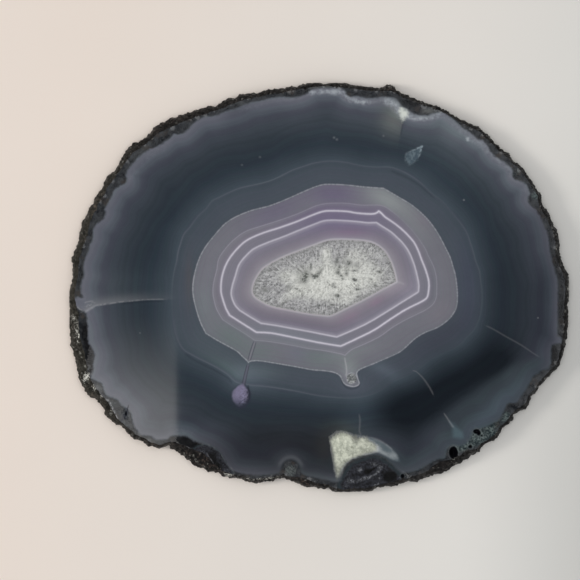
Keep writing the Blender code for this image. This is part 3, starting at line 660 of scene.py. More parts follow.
def relief(points):
    """How far the stone lies below the polished level, in mm."""
    deep = bowls(points, HOLES)
    near = fade(-reach(points, QUARTZ_LOOP), 0.3, 5.0)
    pick = near > 0
    if pick.any():
        sub = points[pick]
        coarse, _ = facets(sub, 3.4, 1.3)
        fine, _ = facets(sub, 1.9, 4.7)
        rough = 0.030 + 0.016 * coarse + 0.010 * fine
        pit = 0.30 * bowls(sub, PITS)
        deep[pick] = np.maximum(deep[pick], pit) + near[pick] * np.maximum(rough, 0)
    near = fade(-reach(points, CRYSTALS_LOOP), -0.5, 4.0)
    pick = near > 0
    if pick.any():
        sub = points[pick]
        coarse, _ = facets(sub, 5.2, 2.1)
        fine, _ = facets(sub, 2.6, 7.9)
        rough = 0.17 + 0.12 * coarse + 0.06 * fine
        deep[pick] = np.maximum(deep[pick], near[pick] * np.maximum(rough, 0))
    near = fade(-reach(points, LUMPY_LOOP), 0.5, 7.0)
    pick = near > 0
    if pick.any():
        sub = points[pick]
        raised = spots(sub, LUMPS)
        lumps = 0.09 - 0.05 * raised + 0.13 * grain(sub, 2.6, 2.0) + 0.14 * grain(sub, 1.4, 6.0)
        deep[pick] = np.maximum(deep[pick], near[pick] * np.clip(lumps, 0.0, 1.5))
    near = fade(-reach(points, CRUST_LOOP), -0.5, 2.5)
    pick = near > 0
    if pick.any():
        sub = points[pick]
        crust = 0.10 + 0.16 * grain(sub, 2.6, 12.0) + 0.14 * grain(sub, 1.4, 16.0)
        deep[pick] = np.maximum(deep[pick], near[pick] * np.clip(crust, 0.0, 1.5))
    # pores in the mottled rind at the lower right and at the lower left
    area = spots(points, PORES)
    pick = area > 0.2
    if pick.any():
        sub = points[pick]
        pores = fade(grain(sub, 2.6, 9.0) + 0.4 * grain(sub, 5.5, 3.0), 0.22, 0.60)
        outer = fade(reach(sub, RINGS["halo"]), -3.0, 2.0)
        deep[pick] += 0.15 * fade(area[pick], 0.2, 0.6) * pores * outer
    return deep


# ------------------------------------------------------------------------- mesh
outline = polar_table(OUTLINE)
face_edge = polar_table(FACE_EDGE)
angles = even_angles(outline, COLUMNS)
outer = np.interp(angles, *outline)
inner = np.minimum(np.interp(angles, *face_edge), outer - 0.0004)
cosine, sine = np.cos(angles), np.sin(angles)
rim_xyz = np.stack((cosine * outer, sine * outer, np.zeros(COLUMNS)), -1) * 1000.0

def granules(points, size, seed):
    """0 in the middle of each granule of this size, about 1 between them."""
    s = 1.0 / size
    near = noise.voronoi
    return np.fromiter(
        (near(Vector((x * s + seed, y * s, z * s - seed)))[0][0] for x, y, z in points),
        float,
        len(points),
    )


rows = []
cavity_rows = []
for number, (height, slope) in enumerate(WALL):
    z_mm = THICKNESS * 1000 * height
    at = rim_xyz + np.array((0, 0, z_mm * 1.25))
    last = number == len(WALL) - 1
    if number == 0:
        chips = 0.22 * grain3(at, 1.7, 0.9) + 0.18 * grain3(at, 0.7, 5.0)
        nick = fade(grain3(at, 1.2, 8.0), 0.30, 0.62)
        radius = inner + (chips - 0.30 * nick) * 0.001
        z = np.full(COLUMNS, THICKNESS)
        cavity = np.zeros(COLUMNS)
    else:
        sway = 0.16 * grain3(at, 9.0, 3.0) + 0.10 * grain3(at, 3.6, 6.0)
        lean = slope + sway * (1 - abs(2 * slope - 1) ** 2) * (0.0 if last else 1.0)
        lumps = 0.5 + 0.5 * grain3(at, 2.3, 0.0)
        knobs = granules(at, 1.25, 3.0)
        grit = granules(at, 0.62, 7.0)
        dust = 0.5 + 0.5 * grain3(at, 0.42, 4.0)
        pit = fade(grain3(at, 1.7, 11.0), 0.22, 0.6)
        # knobs that stand as ribs down the wall, so that the outline is ragged
        rib = rim_xyz + np.array((0, 0, z_mm * 0.30))
        ragged = 0.50 * granules(rib, 1.6, 13.0) + 0.44 * granules(rib, 0.8, 17.0) - 0.40
        held = 0.62 if slope > 0.95 else 1.0
        cavity = 0.22 * lumps + 0.34 * knobs + 0.20 * grit + 0.16 * dust + 0.40 * pit
        drop = (held * cavity - 0.72 * fade(np.float64(slope), 0.3, 0.8)) * 0.001
        drop = drop + ragged * 0.0012 * min(1.0, 0.25 + slope)
        cavity = cavity + 0.5 * ragged
        if last:
            drop = np.maximum(drop, 0) * 0.35 + TUCK * 0.6
        radius = inner + (outer - inner) * np.clip(lean, 0, 1.0) - drop
        z = np.full(COLUMNS, z_mm * 0.001)
        if not last:
            z = z + 0.00018 * grain3(at, 1.1, 7.0)
    rows.append([radius, z])
    cavity_rows.append(cavity)

edge_xy = np.stack((rows[0][0] * cosine, rows[0][0] * sine), -1)
edge_grid = unplace(edge_xy)
rows[0][1] = THICKNESS - np.minimum(relief(edge_grid), 0.9) * 0.001
# crumbs out of the polished edge
crumb = fade(grain3(rim_xyz, 0.9, 21.0), 0.30, 0.7) * 0.00018
rows[0][1] = rows[0][1] - crumb


def lattice(step, seed, wander=0.12):
    """Jittered triangular net over the whole slice, in steps."""
    rng = np.random.default_rng(seed)
    across = int(270 / step)
    down = int(230 / (step * 0.866))
    i, j = np.meshgrid(np.arange(-across, across + 1), np.arange(-down, down + 1))
    x = MIDDLE[0] + (i + 0.5 * (j % 2)) * step
    y = MIDDLE[1] + j * step * 0.866
    points = np.stack((x.ravel(), y.ravel()), -1)
    return points + rng.uniform(-wander, wander, points.shape) * step


def thin(points, keep, gap):
    """The points that lie further than a gap from the ones to keep."""
    tree = kdtree.KDTree(len(keep))
    for i, (x, y) in enumerate(keep):
        tree.insert((x, y, 0), i)
    tree.balance()
    far = np.fromiter(
        (tree.find((x, y, 0))[2] > g for (x, y), g in zip(points, np.broadcast_to(gap, len(points)))),
        bool,
        len(points),
    )
    return points[far]


def walk(curve, step, closed=True):
    """Points at an even step along a curve."""
    p = np.vstack((curve, curve[:1])) if closed else np.asarray(curve, float)
    run = np.concatenate(([0], np.cumsum(np.hypot(*np.diff(p[:, :2], axis=0).T))))
    goal = np.arange(0, run[-1], step)
    return np.stack([np.interp(goal, run, p[:, k]) for k in range(p.shape[1])], -1)


def beside(curve, offsets, step, closed=False):
    """Rows of points along a curve and at some distance to both sides."""
    p = walk(curve[:, :2], step, closed)
    ahead = np.gradient(p, axis=0)
    ahead /= np.maximum(np.hypot(*ahead.T), 1e-9)[:, None]
    left = np.stack((-ahead[:, 1], ahead[:, 0]), -1)
    return np.vstack([p + o * left for o in offsets])


def distinct(points, gap):
    """Drops points that lie closer than a gap to an earlier one."""
    seen = {}
    out = []
    for x, y in points:
        key = (int(x // gap), int(y // gap))
        clash = False
        for i in (-1, 0, 1):
            for j in (-1, 0, 1):
                q = seen.get((key[0] + i, key[1] + j))
                if q is not None and math.hypot(q[0] - x, q[1] - y) < gap:
                    clash = True
        if not clash:
            seen[key] = (x, y)
            out.append((x, y))
    return np.array(out)


def fill(loop, extra):
    """Triangles that fill a loop and use the extra points inside it."""
    points = [Vector(p) for p in np.vstack((loop, extra)).tolist()]
    count = len(loop)
    edges = [(i, (i + 1) % count) for i in range(count)]
    out, _, faces, sources, _, _ = delaunay_2d_cdt(
        points, edges, [list(range(count))], 1, 1e-7
    )
    return out, faces, sources


fine_area = [QUARTZ_LOOP, CRYSTALS_LOOP, LUMPY_LOOP, CRUST_LOOP]


def wants_fine(points):
    keep = np.zeros(len(points), dtype=bool)
    for loop in fine_area:
        keep |= reach(points, loop) < 1.2
    for x, y, w, h, _ in HOLES:
        keep |= np.hypot((points[:, 0] - x) / w, (points[:, 1] - y) / h) < 1.5
    keep |= spots(points, PORES) > 0.3
    return keep


guide = []
for stations, _ in TUBES:
    guide.append(beside(rounded(stations, 4, closed=False), (0, -0.7, 0.7, -1.4, 1.4, -2.2, 2.2), 1.2))
for loop, corners in SHARP.items():
    guide.append(np.array(corners))
for name in ("one", "two", "three", "four", "core"):
    guide.append(walk(RINGS[name], 1.35))
    guide.append(beside(RINGS[name], (-1.15, 1.15), 1.5, closed=True))
for stations, _ in VEINS + SEAMS:
    guide.append(beside(rounded(stations, 4, closed=False), (0, -1.1, 1.1, -2.3, 2.3), 1.3))
for x, y, w, h in (EYE, ARCH):
    turn = np.linspace(0, math.tau, 40, endpoint=False)
    for k in (0.45, 0.8, 1.0, 1.2):
        guide.append(np.stack((x + k * w * np.cos(turn), y + k * h * np.sin(turn)), -1))
for shape in (DIAMOND, WHITE_PATCH, TONGUE):
    loop = np.asarray(shape, float)
    centre = loop.mean(0)
    for k in (0.35, 0.7, 1.0, 1.25):
        guide.append(walk(centre + k * (loop - centre), 1.5))
guide.append(beside(RINGS["halo"], (-1.2, 1.2), 1.9, closed=True))
guide = distinct(np.vstack(guide), 0.68)

fine = lattice(FINE_STEP, 11)
fine = fine[wants_fine(fine)]
guide = guide[~wants_fine(guide)]
flat = lattice(FLAT_STEP, 12)
flat = flat[~wants_fine(flat)]
flat = thin(flat, guide, 0.62 * FLAT_STEP)
flat = thin(flat, fine, 0.7 * FLAT_STEP)
guide = thin(guide, fine, 0.7 * FINE_STEP)
spread = np.vstack((fine, guide, flat))
edge_gap = reach(spread, edge_grid)
spread = spread[edge_gap < -np.where(wants_fine(spread), 0.7, 1.0)]

top_out, top_faces, top_from = fill(edge_xy, place(spread))

# the underside
under_xy = np.stack((rows[-1][0] * cosine, rows[-1][0] * sine), -1)
under_grid = unplace(under_xy)
below = lattice(BASE_STEP, 13)
below = below[reach(below, under_grid) < -0.55 * BASE_STEP]
base_out, base_faces, base_from = fill(under_xy, place(below))

verts = []
for radius, z in rows:
    verts.append(np.stack((radius * cosine, radius * sine, z), -1))
verts = [np.vstack(verts)]
count = len(verts[0])
faces = []
kinds = []
for r in range(len(rows) - 1):
    a = r * COLUMNS + np.arange(COLUMNS)
    b = r * COLUMNS + (np.arange(COLUMNS) + 1) % COLUMNS
    c, d = b + COLUMNS, a + COLUMNS
    # a above, d below it: counter-clockwise from outside
    flip = (np.arange(COLUMNS) + r) % 2 == 0
    for k in range(COLUMNS):
        if flip[k]:
            faces.append((a[k], d[k], c[k]))
            faces.append((a[k], c[k], b[k]))
        else:
            faces.append((a[k], d[k], b[k]))
            faces.append((b[k], d[k], c[k]))
    kinds += [1] * (2 * COLUMNS)


def cap(out, tris, sources, ring_start, up, kind):
    """Adds a filled cap that shares its edge with a row of the wall."""
    global count
    number = {}
    new = []
    for i, (point, source) in enumerate(zip(out, sources)):
        own = [k for k in source if k < COLUMNS]
        if own:
            number[i] = ring_start + own[0]
        else:
            number[i] = count + len(new)
            new.append((point.x, point.y))
    new = np.array(new)
    for tri in tris:
        p = [number[k] for k in tri]
        if len(set(p)) < 3:
            continue
        area = (out[tri[1]].x - out[tri[0]].x) * (out[tri[2]].y - out[tri[0]].y) - (
            out[tri[2]].x - out[tri[0]].x
        ) * (out[tri[1]].y - out[tri[0]].y)
        if (area > 0) != up:
            p.reverse()
        faces.append(tuple(p))
        kinds.append(kind)
    count += len(new)
    return new


top_new = cap(top_out, top_faces, top_from, 0, True, 0)
top_new_grid = unplace(top_new)
top_z = THICKNESS - np.minimum(relief(top_new_grid), 2.2) * 0.001
verts.append(np.column_stack((top_new, top_z)))
base_new = cap(
    base_out, base_faces, base_from, (len(rows) - 1) * COLUMNS, False, 2
)
verts.append(np.column_stack((base_new, np.zeros(len(base_new)))))
verts = np.vstack(verts)
for axis in (0, 1):
    verts[:, axis] = np.clip(verts[:, axis], box_before[0][axis], box_before[1][axis])

data = bpy.data.meshes.new("agate_slice_surface")
data.vertices.add(len(verts))
data.vertices.foreach_set("co", verts.ravel())
data.loops.add(3 * len(faces))
data.polygons.add(len(faces))
data.loops.foreach_set("vertex_index", np.array(faces, dtype=np.int32).ravel())
data.polygons.foreach_set("loop_start", np.arange(0, 3 * len(faces), 3, dtype=np.int32))
# the broken places on the face are dull, the rest of it is polished
slot_of = np.array(kinds, dtype=np.int32)
face_middle = unplace(verts[np.array(faces)][:, :, :2].mean(1))
dull = (reach(face_middle, LUMPY_LOOP) < 0.3) | (reach(face_middle, CRUST_LOOP) < 0.3)
dull |= spots(face_middle, PORES) > 0.12
dull |= spots(face_middle, [(189, 442, 13, 6, -20, 1.0), (436, 463, 11, 6, 10, 1.0)]) > 0.35
for x, y, w, h, depth in HOLES:
    if depth > 0.5:
        dull |= np.hypot((face_middle[:, 0] - x) / w, (face_middle[:, 1] - y) / h) < 2.0
slot_of[(slot_of == 0) & dull] = 3
data.polygons.foreach_set("material_index", slot_of)
data.update(calc_edges=True)
data.validate()
data.shade_smooth()
data.set_sharp_from_angle(angle=math.radians(38))
print("mesh", len(verts), "points", len(faces), "triangles")


# -------------------------------------------------------------- painted measures
LIGHT = 0.84  # how bright a white thing lying here would look
SHINE = 0.004  # light that the polish sends back from the dark overhead


def seen(r, g, b, shine=SHINE):
    """The surface colour that looks like this display colour in this light."""
    out = []
    for v in (r, g, b):
        v = max(v, 0) / 255.0
        v = v / 12.92 if v <= 0.04045 else ((v + 0.055) / 1.055) ** 2.4
        out.append(min(max((v - shine) / LIGHT, 0.0012), 0.95))
    return out


def col(r, g, b):
    return np.array(seen(r, g, b))


def blend(a, b, t):
    t = np.asarray(t)[..., None]
    return a * (1 - t) + b * t


grid = unplace(verts[:, :2])
bottom = np.zeros(len(verts), dtype=bool)
bottom[(len(rows) - 1) * COLUMNS : len(rows) * COLUMNS] = True
bottom[len(verts) - len(base_new) :] = True
# the bands lean outwards a little with depth
probe = grid.copy()
probe[bottom] = np.array(MIDDLE) + (grid[bottom] - np.array(MIDDLE)) * 0.978

d = {name: reach(probe, loop) for name, loop in RINGS.items()}
names = ("core", "four", "three", "two", "one", "faint", "halo")

# growth coordinate: 0 at the quartz, one more at each line, 6 at the rind
u = np.where(d["core"] < 0, d["core"] * 0.02, 6 + d["halo"] * 0.02)
for k in range(6):
    lower, upper = d[names[k]], d[names[k + 1]]
    between = (lower >= 0) & (upper < 0)
    share = np.abs(lower) / np.maximum(np.abs(lower) + np.abs(upper), 1e-6)
    u = np.where(between, k + share, u)

# where each line shows, and how strongly
def show(shapes, least, most):
    return np.clip(least + spots(probe, shapes), 0, most)


amp_faint = show([(270, 180, 90, 30, 20, 0.50), (400, 172, 50, 22, -25, 0.30),
                  (200, 365, 50, 25, -25, 0.40), (290, 388, 70, 14, -8, 0.45),
                  (470, 260, 20, 60, 0, 0.30), (178, 250, 14, 36, 0, 0.50)], 0.06, 0.6)
amp_one = show([(197, 300, 16, 50, 0, 0.12), (350, 382, 20, 12, 0, 0.18),
                (300, 366, 60, 10, -8, 0.05), (250, 360, 10, 10, 0, 0.10)], 0.34, 0.60)
amp_two = show([(213, 292, 12, 40, 0, 0.10), (260, 226, 60, 20, 20, 0.06), (408, 225, 26, 24, 0, -0.16),
                (345, 352, 60, 16, 15, 0.08), (385, 330, 40, 16, 35, 0.06)], 0.24, 0.42)
amp_three = show([(380, 212, 10, 8, 0, 0.15), (380, 325, 60, 20, 30, 0.10)], 0.68, 0.90)
amp_four = show([(360, 325, 50, 20, 30, 0.08), (320, 222, 50, 10, 10, -0.06)], 0.58, 0.80)
amp_core = show([(330, 240, 60, 12, 0, 0.10), (397, 282, 12, 12, 0, 0.2)], 0.50, 0.8)

# --- broad colour
P = probe
zone = np.empty((len(verts), 3))


def tones(value, stops):
    """Colour by a value from 0 to 1, through a few stops."""
    at = [s[0] for s in stops]
    shades = np.array([col(*s[1]) for s in stops])
    return np.stack([np.interp(value, at, shades[:, k]) for k in range(3)], -1)


zone[:] = tones(np.clip(u - 5, 0, 1), [
    (0.0, (66, 74, 83)), (0.10, (58, 66, 74)), (0.25, (47, 55, 63)), (0.45, (48, 55, 62)),
    (0.62, (55, 61, 68)), (0.78, (66, 70, 79)), (0.90, (84, 88, 97)), (1.0, (98, 101, 109)),
])
for low, stops in (
    (4, [(0.0, (72, 79, 87)), (0.4, (72, 78, 87)), (1.0, (67, 75, 83))]),
    (3, [(0.0, (110, 111, 119)), (0.5, (110, 110, 118)), (1.0, (106, 107, 115))]),
    (2, [(0.0, (117, 114, 124)), (1.0, (114, 113, 122))]),
    (1, [(0.0, (119, 117, 128)), (1.0, (119, 117, 127))]),
    (0, [(0.0, (143, 140, 147)), (0.2, (131, 127, 136)), (0.5, (121, 117, 128)),
         (0.85, (121, 118, 131)), (1.0, (128, 125, 136))]),
):
    here = (u >= low) & (u < low + 1)
    zone[here] = tones(u - low, stops)[here]
zone[u < 0] = col(146, 146, 144)


def shift(shapes, factor, where=1.0):
    """Multiplies the colour inside soft spots."""
    global zone
    m = np.clip(spots(P, shapes), 0, 1) * where
    zone = zone * (1 + (np.array(factor) - 1) * m[:, None])


def wash(mask, colour):
    """Draws the colour towards another one."""
    global zone
    zone = blend(zone, col(*colour), mask)


def soft(shapes, most=1.0):
    return np.clip(spots(P, shapes), 0, most)


out_zone = fade(u, 4.6, 5.2)
slate_zone = fade(u, 3.95, 4.05) * (1 - fade(u, 4.8, 5.1))
mid_zone = fade(u, 2.95, 3.05) * (1 - fade(u, 3.95, 4.05))
in_zone = 1 - fade(u, 2.95, 3.05)
deep_zone = 1 - fade(u, 0.95, 1.05)
far_zone = fade(u, 5.3, 5.9)
# inside the second line: more violet above, greyer below
shift([(335, 216, 62, 22, -3, 1.0)], (0.87, 0.79, 0.97), in_zone)
shift([(290, 338, 70, 10, -9, 1.0)], (0.97, 1.07, 1.03), in_zone * (1 - deep_zone))
shift([(434, 285, 10, 34, 0, 1.0)], (0.86, 0.90, 0.90), in_zone * (1 - deep_zone))
shift([(376, 302, 8, 4, 30, 1.0), (350, 317, 12, 5, 30, 0.8), (350, 232, 16, 4, 0, 0.7),
       (281, 306, 12, 4, -12, 0.5)], (1.10, 0.94, 1.02), deep_zone)
shift([(300, 322, 60, 9, -10, 1.0)], (0.90, 0.88, 0.90), deep_zone)
shift([(240, 290, 10, 24, 0, 1.0)], (1.06, 1.06, 1.04), deep_zone)
# the grey zone
shift([(335, 194, 26, 12, -3, 1.0), (275, 212, 34, 12, 24, 0.7)], (0.90, 0.80, 1.00), mid_zone)
shift([(386, 198, 26, 11, -28, 1.0)], (1.50, 1.60, 1.42), mid_zone)
shift([(416, 226, 20, 14, -55, 0.8)], (1.14, 1.18, 1.12), mid_zone)
shift([(428, 216, 10, 12, -50, 0.6)], (1.12, 0.98, 1.06), mid_zone)
shift([(262, 352, 16, 10, 0, 0.6), (318, 358, 20, 9, -8, 0.8), (232, 338, 22, 12, -30, 1.0),
       (203, 305, 10, 20, 0, 0.6)], (0.88, 1.03, 0.93), mid_zone)
shift([(297, 354, 10, 8, 0, 0.7)], (0.96, 0.96, 1.05), mid_zone)
shift([(350, 366, 10, 9, 0, 0.9), (352, 352, 26, 6, 15, 0.5)], (1.25, 1.36, 1.22), mid_zone)
shift([(440, 312, 14, 14, 40, 0.7)], (1.10, 1.04, 1.04), mid_zone)
# the slate zone
shift([(228, 371, 24, 14, -28, 1.0), (262, 372, 22, 7, -6, 0.7)], (1.32, 1.42, 1.26), slate_zone)
shift([(205, 345, 22, 14, -35, 0.6)], (1.12, 1.16, 1.10), slate_zone)
shift([(440, 338, 44, 18, 34, 1.0)], (0.80, 0.76, 0.80), slate_zone)
shift([(468, 285, 12, 50, 0, 1.0)], (0.88, 0.86, 0.94), slate_zone)
shift([(189, 280, 4, 26, 0, 0.8)], (1.18, 1.0, 0.92), slate_zone)
# outside
shift([(515, 300, 45, 75, 0, 1.0)], (0.74, 0.74, 0.76), out_zone)
shift([(300, 415, 95, 26, 5, 1.0)], (0.84, 0.84, 0.84), out_zone)
shift([(475, 150, 70, 40, -35, 1.0)], (1.22, 1.24, 1.20), out_zone)
shift([(345, 115, 90, 28, 0, 1.0)], (1.16, 1.14, 1.13), far_zone)
shift([(300, 466, 115, 20, -3, 1.0)], (0.42, 0.43, 0.42), far_zone)
shift([(378, 462, 66, 15, 0, 1.0)], (0.48, 0.56, 0.55), fade(u, 5.35, 5.8))
shift([(212, 452, 26, 14, -30, 0.7)], (0.62, 0.64, 0.64), far_zone)
shift([(548, 285, 14, 62, 0, 1.0)], (0.55, 0.58, 0.60), far_zone)
shift([(184, 428, 14, 8, -20, 0.8)], (0.98, 1.10, 1.06), far_zone)
wash(soft([(250, 380, 20, 10, 0, 0.5)], 0.5) * fade(u, 4.9, 5.1), (78, 86, 93))
wash(soft([(406, 412, 36, 24, 8, 1.0), (455, 384, 44, 20, 28, 1.0), (500, 360, 26, 24, 40, 0.8)], 0.95)
     * out_zone, (26, 30, 35))
wash(soft([(330, 450, 26, 16, 0, 0.8)], 0.7) * out_zone, (44, 47, 52))
lower_band = np.asarray(LOWER_BAND, float)
gap, _, _, side = to_segments(P, lower_band[:-1], lower_band[1:])
beyond = fade(gap * side, -5.0, 9.0) * soft([(478, 420, 62, 24, 37, 1.4), (525, 372, 20, 26, 60, 1.0)])
wash(0.88 * np.clip(beyond, 0, 1) * out_zone, (58, 66, 71))
wash(0.75 * np.clip(beyond, 0, 1) * soft([(495, 408, 46, 9, 42, 1.0)]) * out_zone, (70, 79, 88))
shift([(128, 284, 34, 16, 0, 1.0)], (1.26, 1.24, 1.19), out_zone)
shift([(112, 300, 22, 26, 0, 0.7)], (1.12, 1.12, 1.10), out_zone)
shift([(345, 128, 66, 13, 0, 1.0), (390, 136, 26, 14, 0, 0.5)], (1.26, 1.24, 1.22), out_zone)
shift([(436, 150, 42, 20, -35, 1.0)], (1.34, 1.32, 1.30), out_zone)
shift([(158, 426, 44, 13, 12, 1.0), (190, 418, 20, 12, 0, 0.4)], (0.70, 0.72, 0.74), out_zone)
shift([(262, 448, 62, 16, 4, 1.0)], (0.68, 0.66, 0.69), out_zone)
shift([(428, 448, 26, 14, -20, 1.0)], (0.80, 0.80, 0.82), out_zone)
shift([(364, 414, 18, 22, 0, 1.0), (346, 424, 12, 9, 0, 0.6)], (1.45, 1.48, 1.46), out_zone)
shift([(384, 371, 17, 7, -26, 1.0)], (1.42, 1.44, 1.42), fade(u, 3.95, 4.05))
shift([(247, 377, 20, 12, -10, 1.0)], (1.30, 1.26, 1.32), fade(u, 3.95, 4.05))
shift([(446, 360, 24, 10, 30, 1.0)], (0.78, 0.80, 0.80), fade(u, 3.95, 4.05))
shift([(540, 338, 14, 38, 0, 1.0)], (0.72, 0.73, 0.76), out_zone)
shift([(490, 304, 14, 40, 0, 1.0)], (0.84, 0.84, 0.84), out_zone)
shift([(205, 300, 6, 22, 0, 0.7)], (1.15, 1.13, 1.15), mid_zone)
wash(soft([(275, 438, 52, 15, 0, 0.75), (312, 446, 18, 12, 0, 0.5)], 0.8) * out_zone, (37, 39, 43))
shift([(394, 290, 16, 7, 0, 1.0)], (1.16, 1.14, 1.14), deep_zone)
shift([(410, 288, 9, 14, 0, 1.0)], (1.12, 1.12, 1.12), in_zone)
shift([(349, 376, 7, 9, 0, 0.9)], (1.22, 1.22, 1.22), mid_zone)
shift([(354, 386, 14, 10, 0, 0.8)], (1.22, 1.20, 1.22), slate_zone)
shift([(384, 376, 10, 5, -26, 0.8)], (0.86, 0.86, 0.88), slate_zone)
shift([(338, 428, 15, 9, 0, 1.0)], (1.22, 1.14, 0.98), out_zone)
shift([(324, 446, 9, 16, 0, 0.8)], (1.34, 1.20, 1.00), out_zone)
shift([(310, 396, 16, 7, 0, 0.8)], (0.86, 0.86, 0.88), out_zone)
shift([(465, 412, 26, 10, 35, 0.8)], (0.84, 0.85, 0.86), out_zone)
shift([(538, 220, 12, 18, 20, 1.0), (550, 342, 8, 22, 0, 1.0)], (0.74, 0.75, 0.77), far_zone)
shift([(238, 111, 20, 8, 12, 1.0), (124, 409, 15, 10, -40, 1.0), (160, 431, 18, 8, 0, 0.8)], (0.72, 0.73, 0.75), far_zone)
shift([(162, 134, 18, 8, 35, 0.8), (192, 114, 10, 6, 20, 0.6)], (1.16, 1.15, 1.14), far_zone)
shift([(408, 438, 13, 15, 0, 1.0)], (0.74, 0.74, 0.75), out_zone)
shift([(350, 430, 13, 6, 0, 1.0)], (1.20, 1.17, 1.08), out_zone)
# grey-green field left of the white patch's line, and the paler one under the rind
line_x = 403.2 - 0.2 * (P[:, 1] - 121)
wash(0.75 * soft([(395, 118, 14, 16, 0, 1.0)]) * (1 - fade(P[:, 0] - line_x, -0.8, 0.8)) * out_zone,
     (104, 108, 106))
wash(0.55 * soft([(452, 131, 22, 10, -30, 1.0)]) * out_zone, (104, 112, 117))

# --- masks used by the material
cloud = spots(P, [
    (325, 91.5, 15, 2.6, 0, 0.70), (312, 93, 5, 2.6, 0, 0.45), (337, 91.5, 8, 3.0, 0, 0.50),
    (347, 96, 6, 3.0, -40, 0.45), (358, 101, 8, 3.2, -14, 0.62), (364, 102, 4, 2.4, 0, 0.45),
    (388, 101.5, 8, 4.5, -20, 0.62), (396, 106, 6, 4.5, -40, 0.50), (372, 101.5, 7, 2.8, 0, 0.35),
    (412, 117.4, 8, 2.6, -10, 0.75), (424, 118.6, 9, 2.4, 0, 0.55), (435, 116.0, 7, 2.6, 24, 0.50), (401, 112, 6, 6, 0, 0.55), (443, 117, 8, 3.2, -20, 0.25),
    (467.5, 139.4, 2.0, 1.6, 0, 0.95), (458, 127, 16, 4, -34, 0.26), (476, 141, 14, 4.5, -30, 0.28),
    (490, 153, 14, 4.5, -38, 0.24), (505, 166, 12, 5, -40, 0.24), (516, 177, 8, 7, -30, 0.24),
    (526, 190, 6, 8, -60, 0.18), (287, 99, 22, 3, 5, 0.20), (248, 108, 20, 4, 15, 0.16),
    (158, 150, 22, 5, 32, 0.18), (132, 176, 14, 6, 50, 0.16),
    (184, 431, 18, 5, -15, 0.12), (345, 99, 10, 3, -25, 0.2),
    (351, 459.5, 6, 2.2, 38, 0.55), (365, 454.0, 8, 1.8, 8, 0.50), (343.0, 467, 1.8, 6, -20, 0.60),
    (337.5, 474, 1.8, 4, 0, 0.45),
])
crystal = reach(P, CRYSTALS_LOOP)
white = reach(P, np.asarray(WHITE_PATCH, float))
gem = reach(P, np.asarray(DIAMOND, float))


def oval(shape):
    x, y, w, h = shape
    r = np.hypot((P[:, 0] - x) / w, (P[:, 1] - y) / h)
    return (r - 1) * (w + h) / 2


eye = oval(EYE)
# it narrows to a point where the neck comes in
rise = np.clip((EYE[1] - P[:, 1]) / EYE[3], 0, 1.6)
eye = np.hypot((P[:, 0] - EYE[0] - 1.8 * rise**2) / (EYE[2] * (1 - 0.42 * rise**2)), (P[:, 1] - EYE[1]) / EYE[3]) - 1
eye = np.clip(eye, -1, 3) * (EYE[2] + EYE[3]) / 2
arch = oval(ARCH)


def strand(group):
    """Signed distance over half width to the nearest thin line, and how
    strongly the line shows there."""
    best = np.full(len(P), 1e9)
    value = np.full(len(P), 9.0)
    power = np.zeros(len(P))
    for stations, strength in group:
        curve = rounded(stations, 4, closed=False)
        gap, which, along, side = to_segments(P, curve[:-1], curve[1:])
        width = curve[which, 2] + (curve[which + 1, 2] - curve[which, 2]) * along
        run = (which + along) / (len(curve) - 1)
        ends = fade(run, 0.0, 0.10) * (1 - fade(run, 0.90, 1.0))
        closer = gap / width < best
        best = np.where(closer, gap / width, best)
        value = np.where(closer, side * gap / width, value)
        power = np.where(closer, strength * ends, power)
    return np.clip(value, -9, 9), power * (1 - fade(best, 3.2, 4.4))


vein, vein_power = strand(VEINS)
seam, seam_power = strand(SEAMS)
tube, tube_power = strand(TUBES)
left_crack = rounded(LEFT_CRACK, 4, closed=False)
gap, which, along, side = to_segments(P, left_crack[:-1], left_crack[1:])
above = np.where(P[:, 1] < np.interp(P[:, 0], left_crack[:, 0], left_crack[:, 1]), 1.0, 0.0)
glow = above * np.exp(-((gap / 6.5) ** 2)) * fade(P[:, 0], 76, 90) * (1 - 0.80 * fade(P[:, 0], 90, 168))
fan = reach(P, np.array([(450, 422), (453, 428), (453.5, 437), (463, 438), (462.5, 433), (457, 428)], float))
glow += 1.1 * (1 - fade(fan, -1.8, 2.6))

streaks = spots(P, [(288, 420, 34, 14, 0, 1.0), (280, 128, 22, 8, 5, 0.7)])
mottle = spots(P, [(478, 437, 12, 8, 35, 1.0), (490, 431, 12, 7, 35, 0.9), (506, 417, 8, 7, 40, 0.7),
                   (461, 447, 14, 6, 20, 0.9), (112, 404, 6, 8, -40, 0.5), (79, 328, 4, 16, 0, 0.25),
                   (536, 196, 6, 6, 0, 0.8), (516, 172, 6, 6, 0, 0.6), (556, 249, 4, 5, 0, 0.6)])
lumpy = np.maximum(fade(-reach(P, LUMPY_LOOP), -3.5, 7.5), fade(-reach(P, CRUST_LOOP), -2.5, 2.0))
lump_light = spots(P, LUMPS + CRUST_TONES)
tongue = reach(P, np.asarray(TONGUE, float))
tongue_light = spots(P, [(375.5, 448.5, 5.0, 4.0, 0, 1.0), (384, 453.5, 7, 2.6, -26, 0.55),
                         (394, 455.5, 5.5, 4.5, -35, 0.50), (390, 447, 8, 1.6, -32, 0.30),
                         (378, 440.4, 8, 1.6, -18, 0.28)])
quartz_light = spots(P, [(*q[:5], q[5] * (1.9 if q[5] < 0 else 0.75)) for q in QUARTZ_SPOTS])
quartz_light = np.where(quartz_light < 0, np.exp(np.minimum(quartz_light, 0)) - 1, quartz_light)
milk = spots(P, MILKY)
milk = np.clip(milk, 0, 1.15)
# depth of the open places; it also sets their painted shade
hollow = np.zeros(len(verts))
hollow[: COLUMNS] = bowls(edge_grid, HOLES)
top_rows = slice(len(rows) * COLUMNS, len(rows) * COLUMNS + len(top_new))
hollow[top_rows] = bowls(top_new_grid, HOLES)
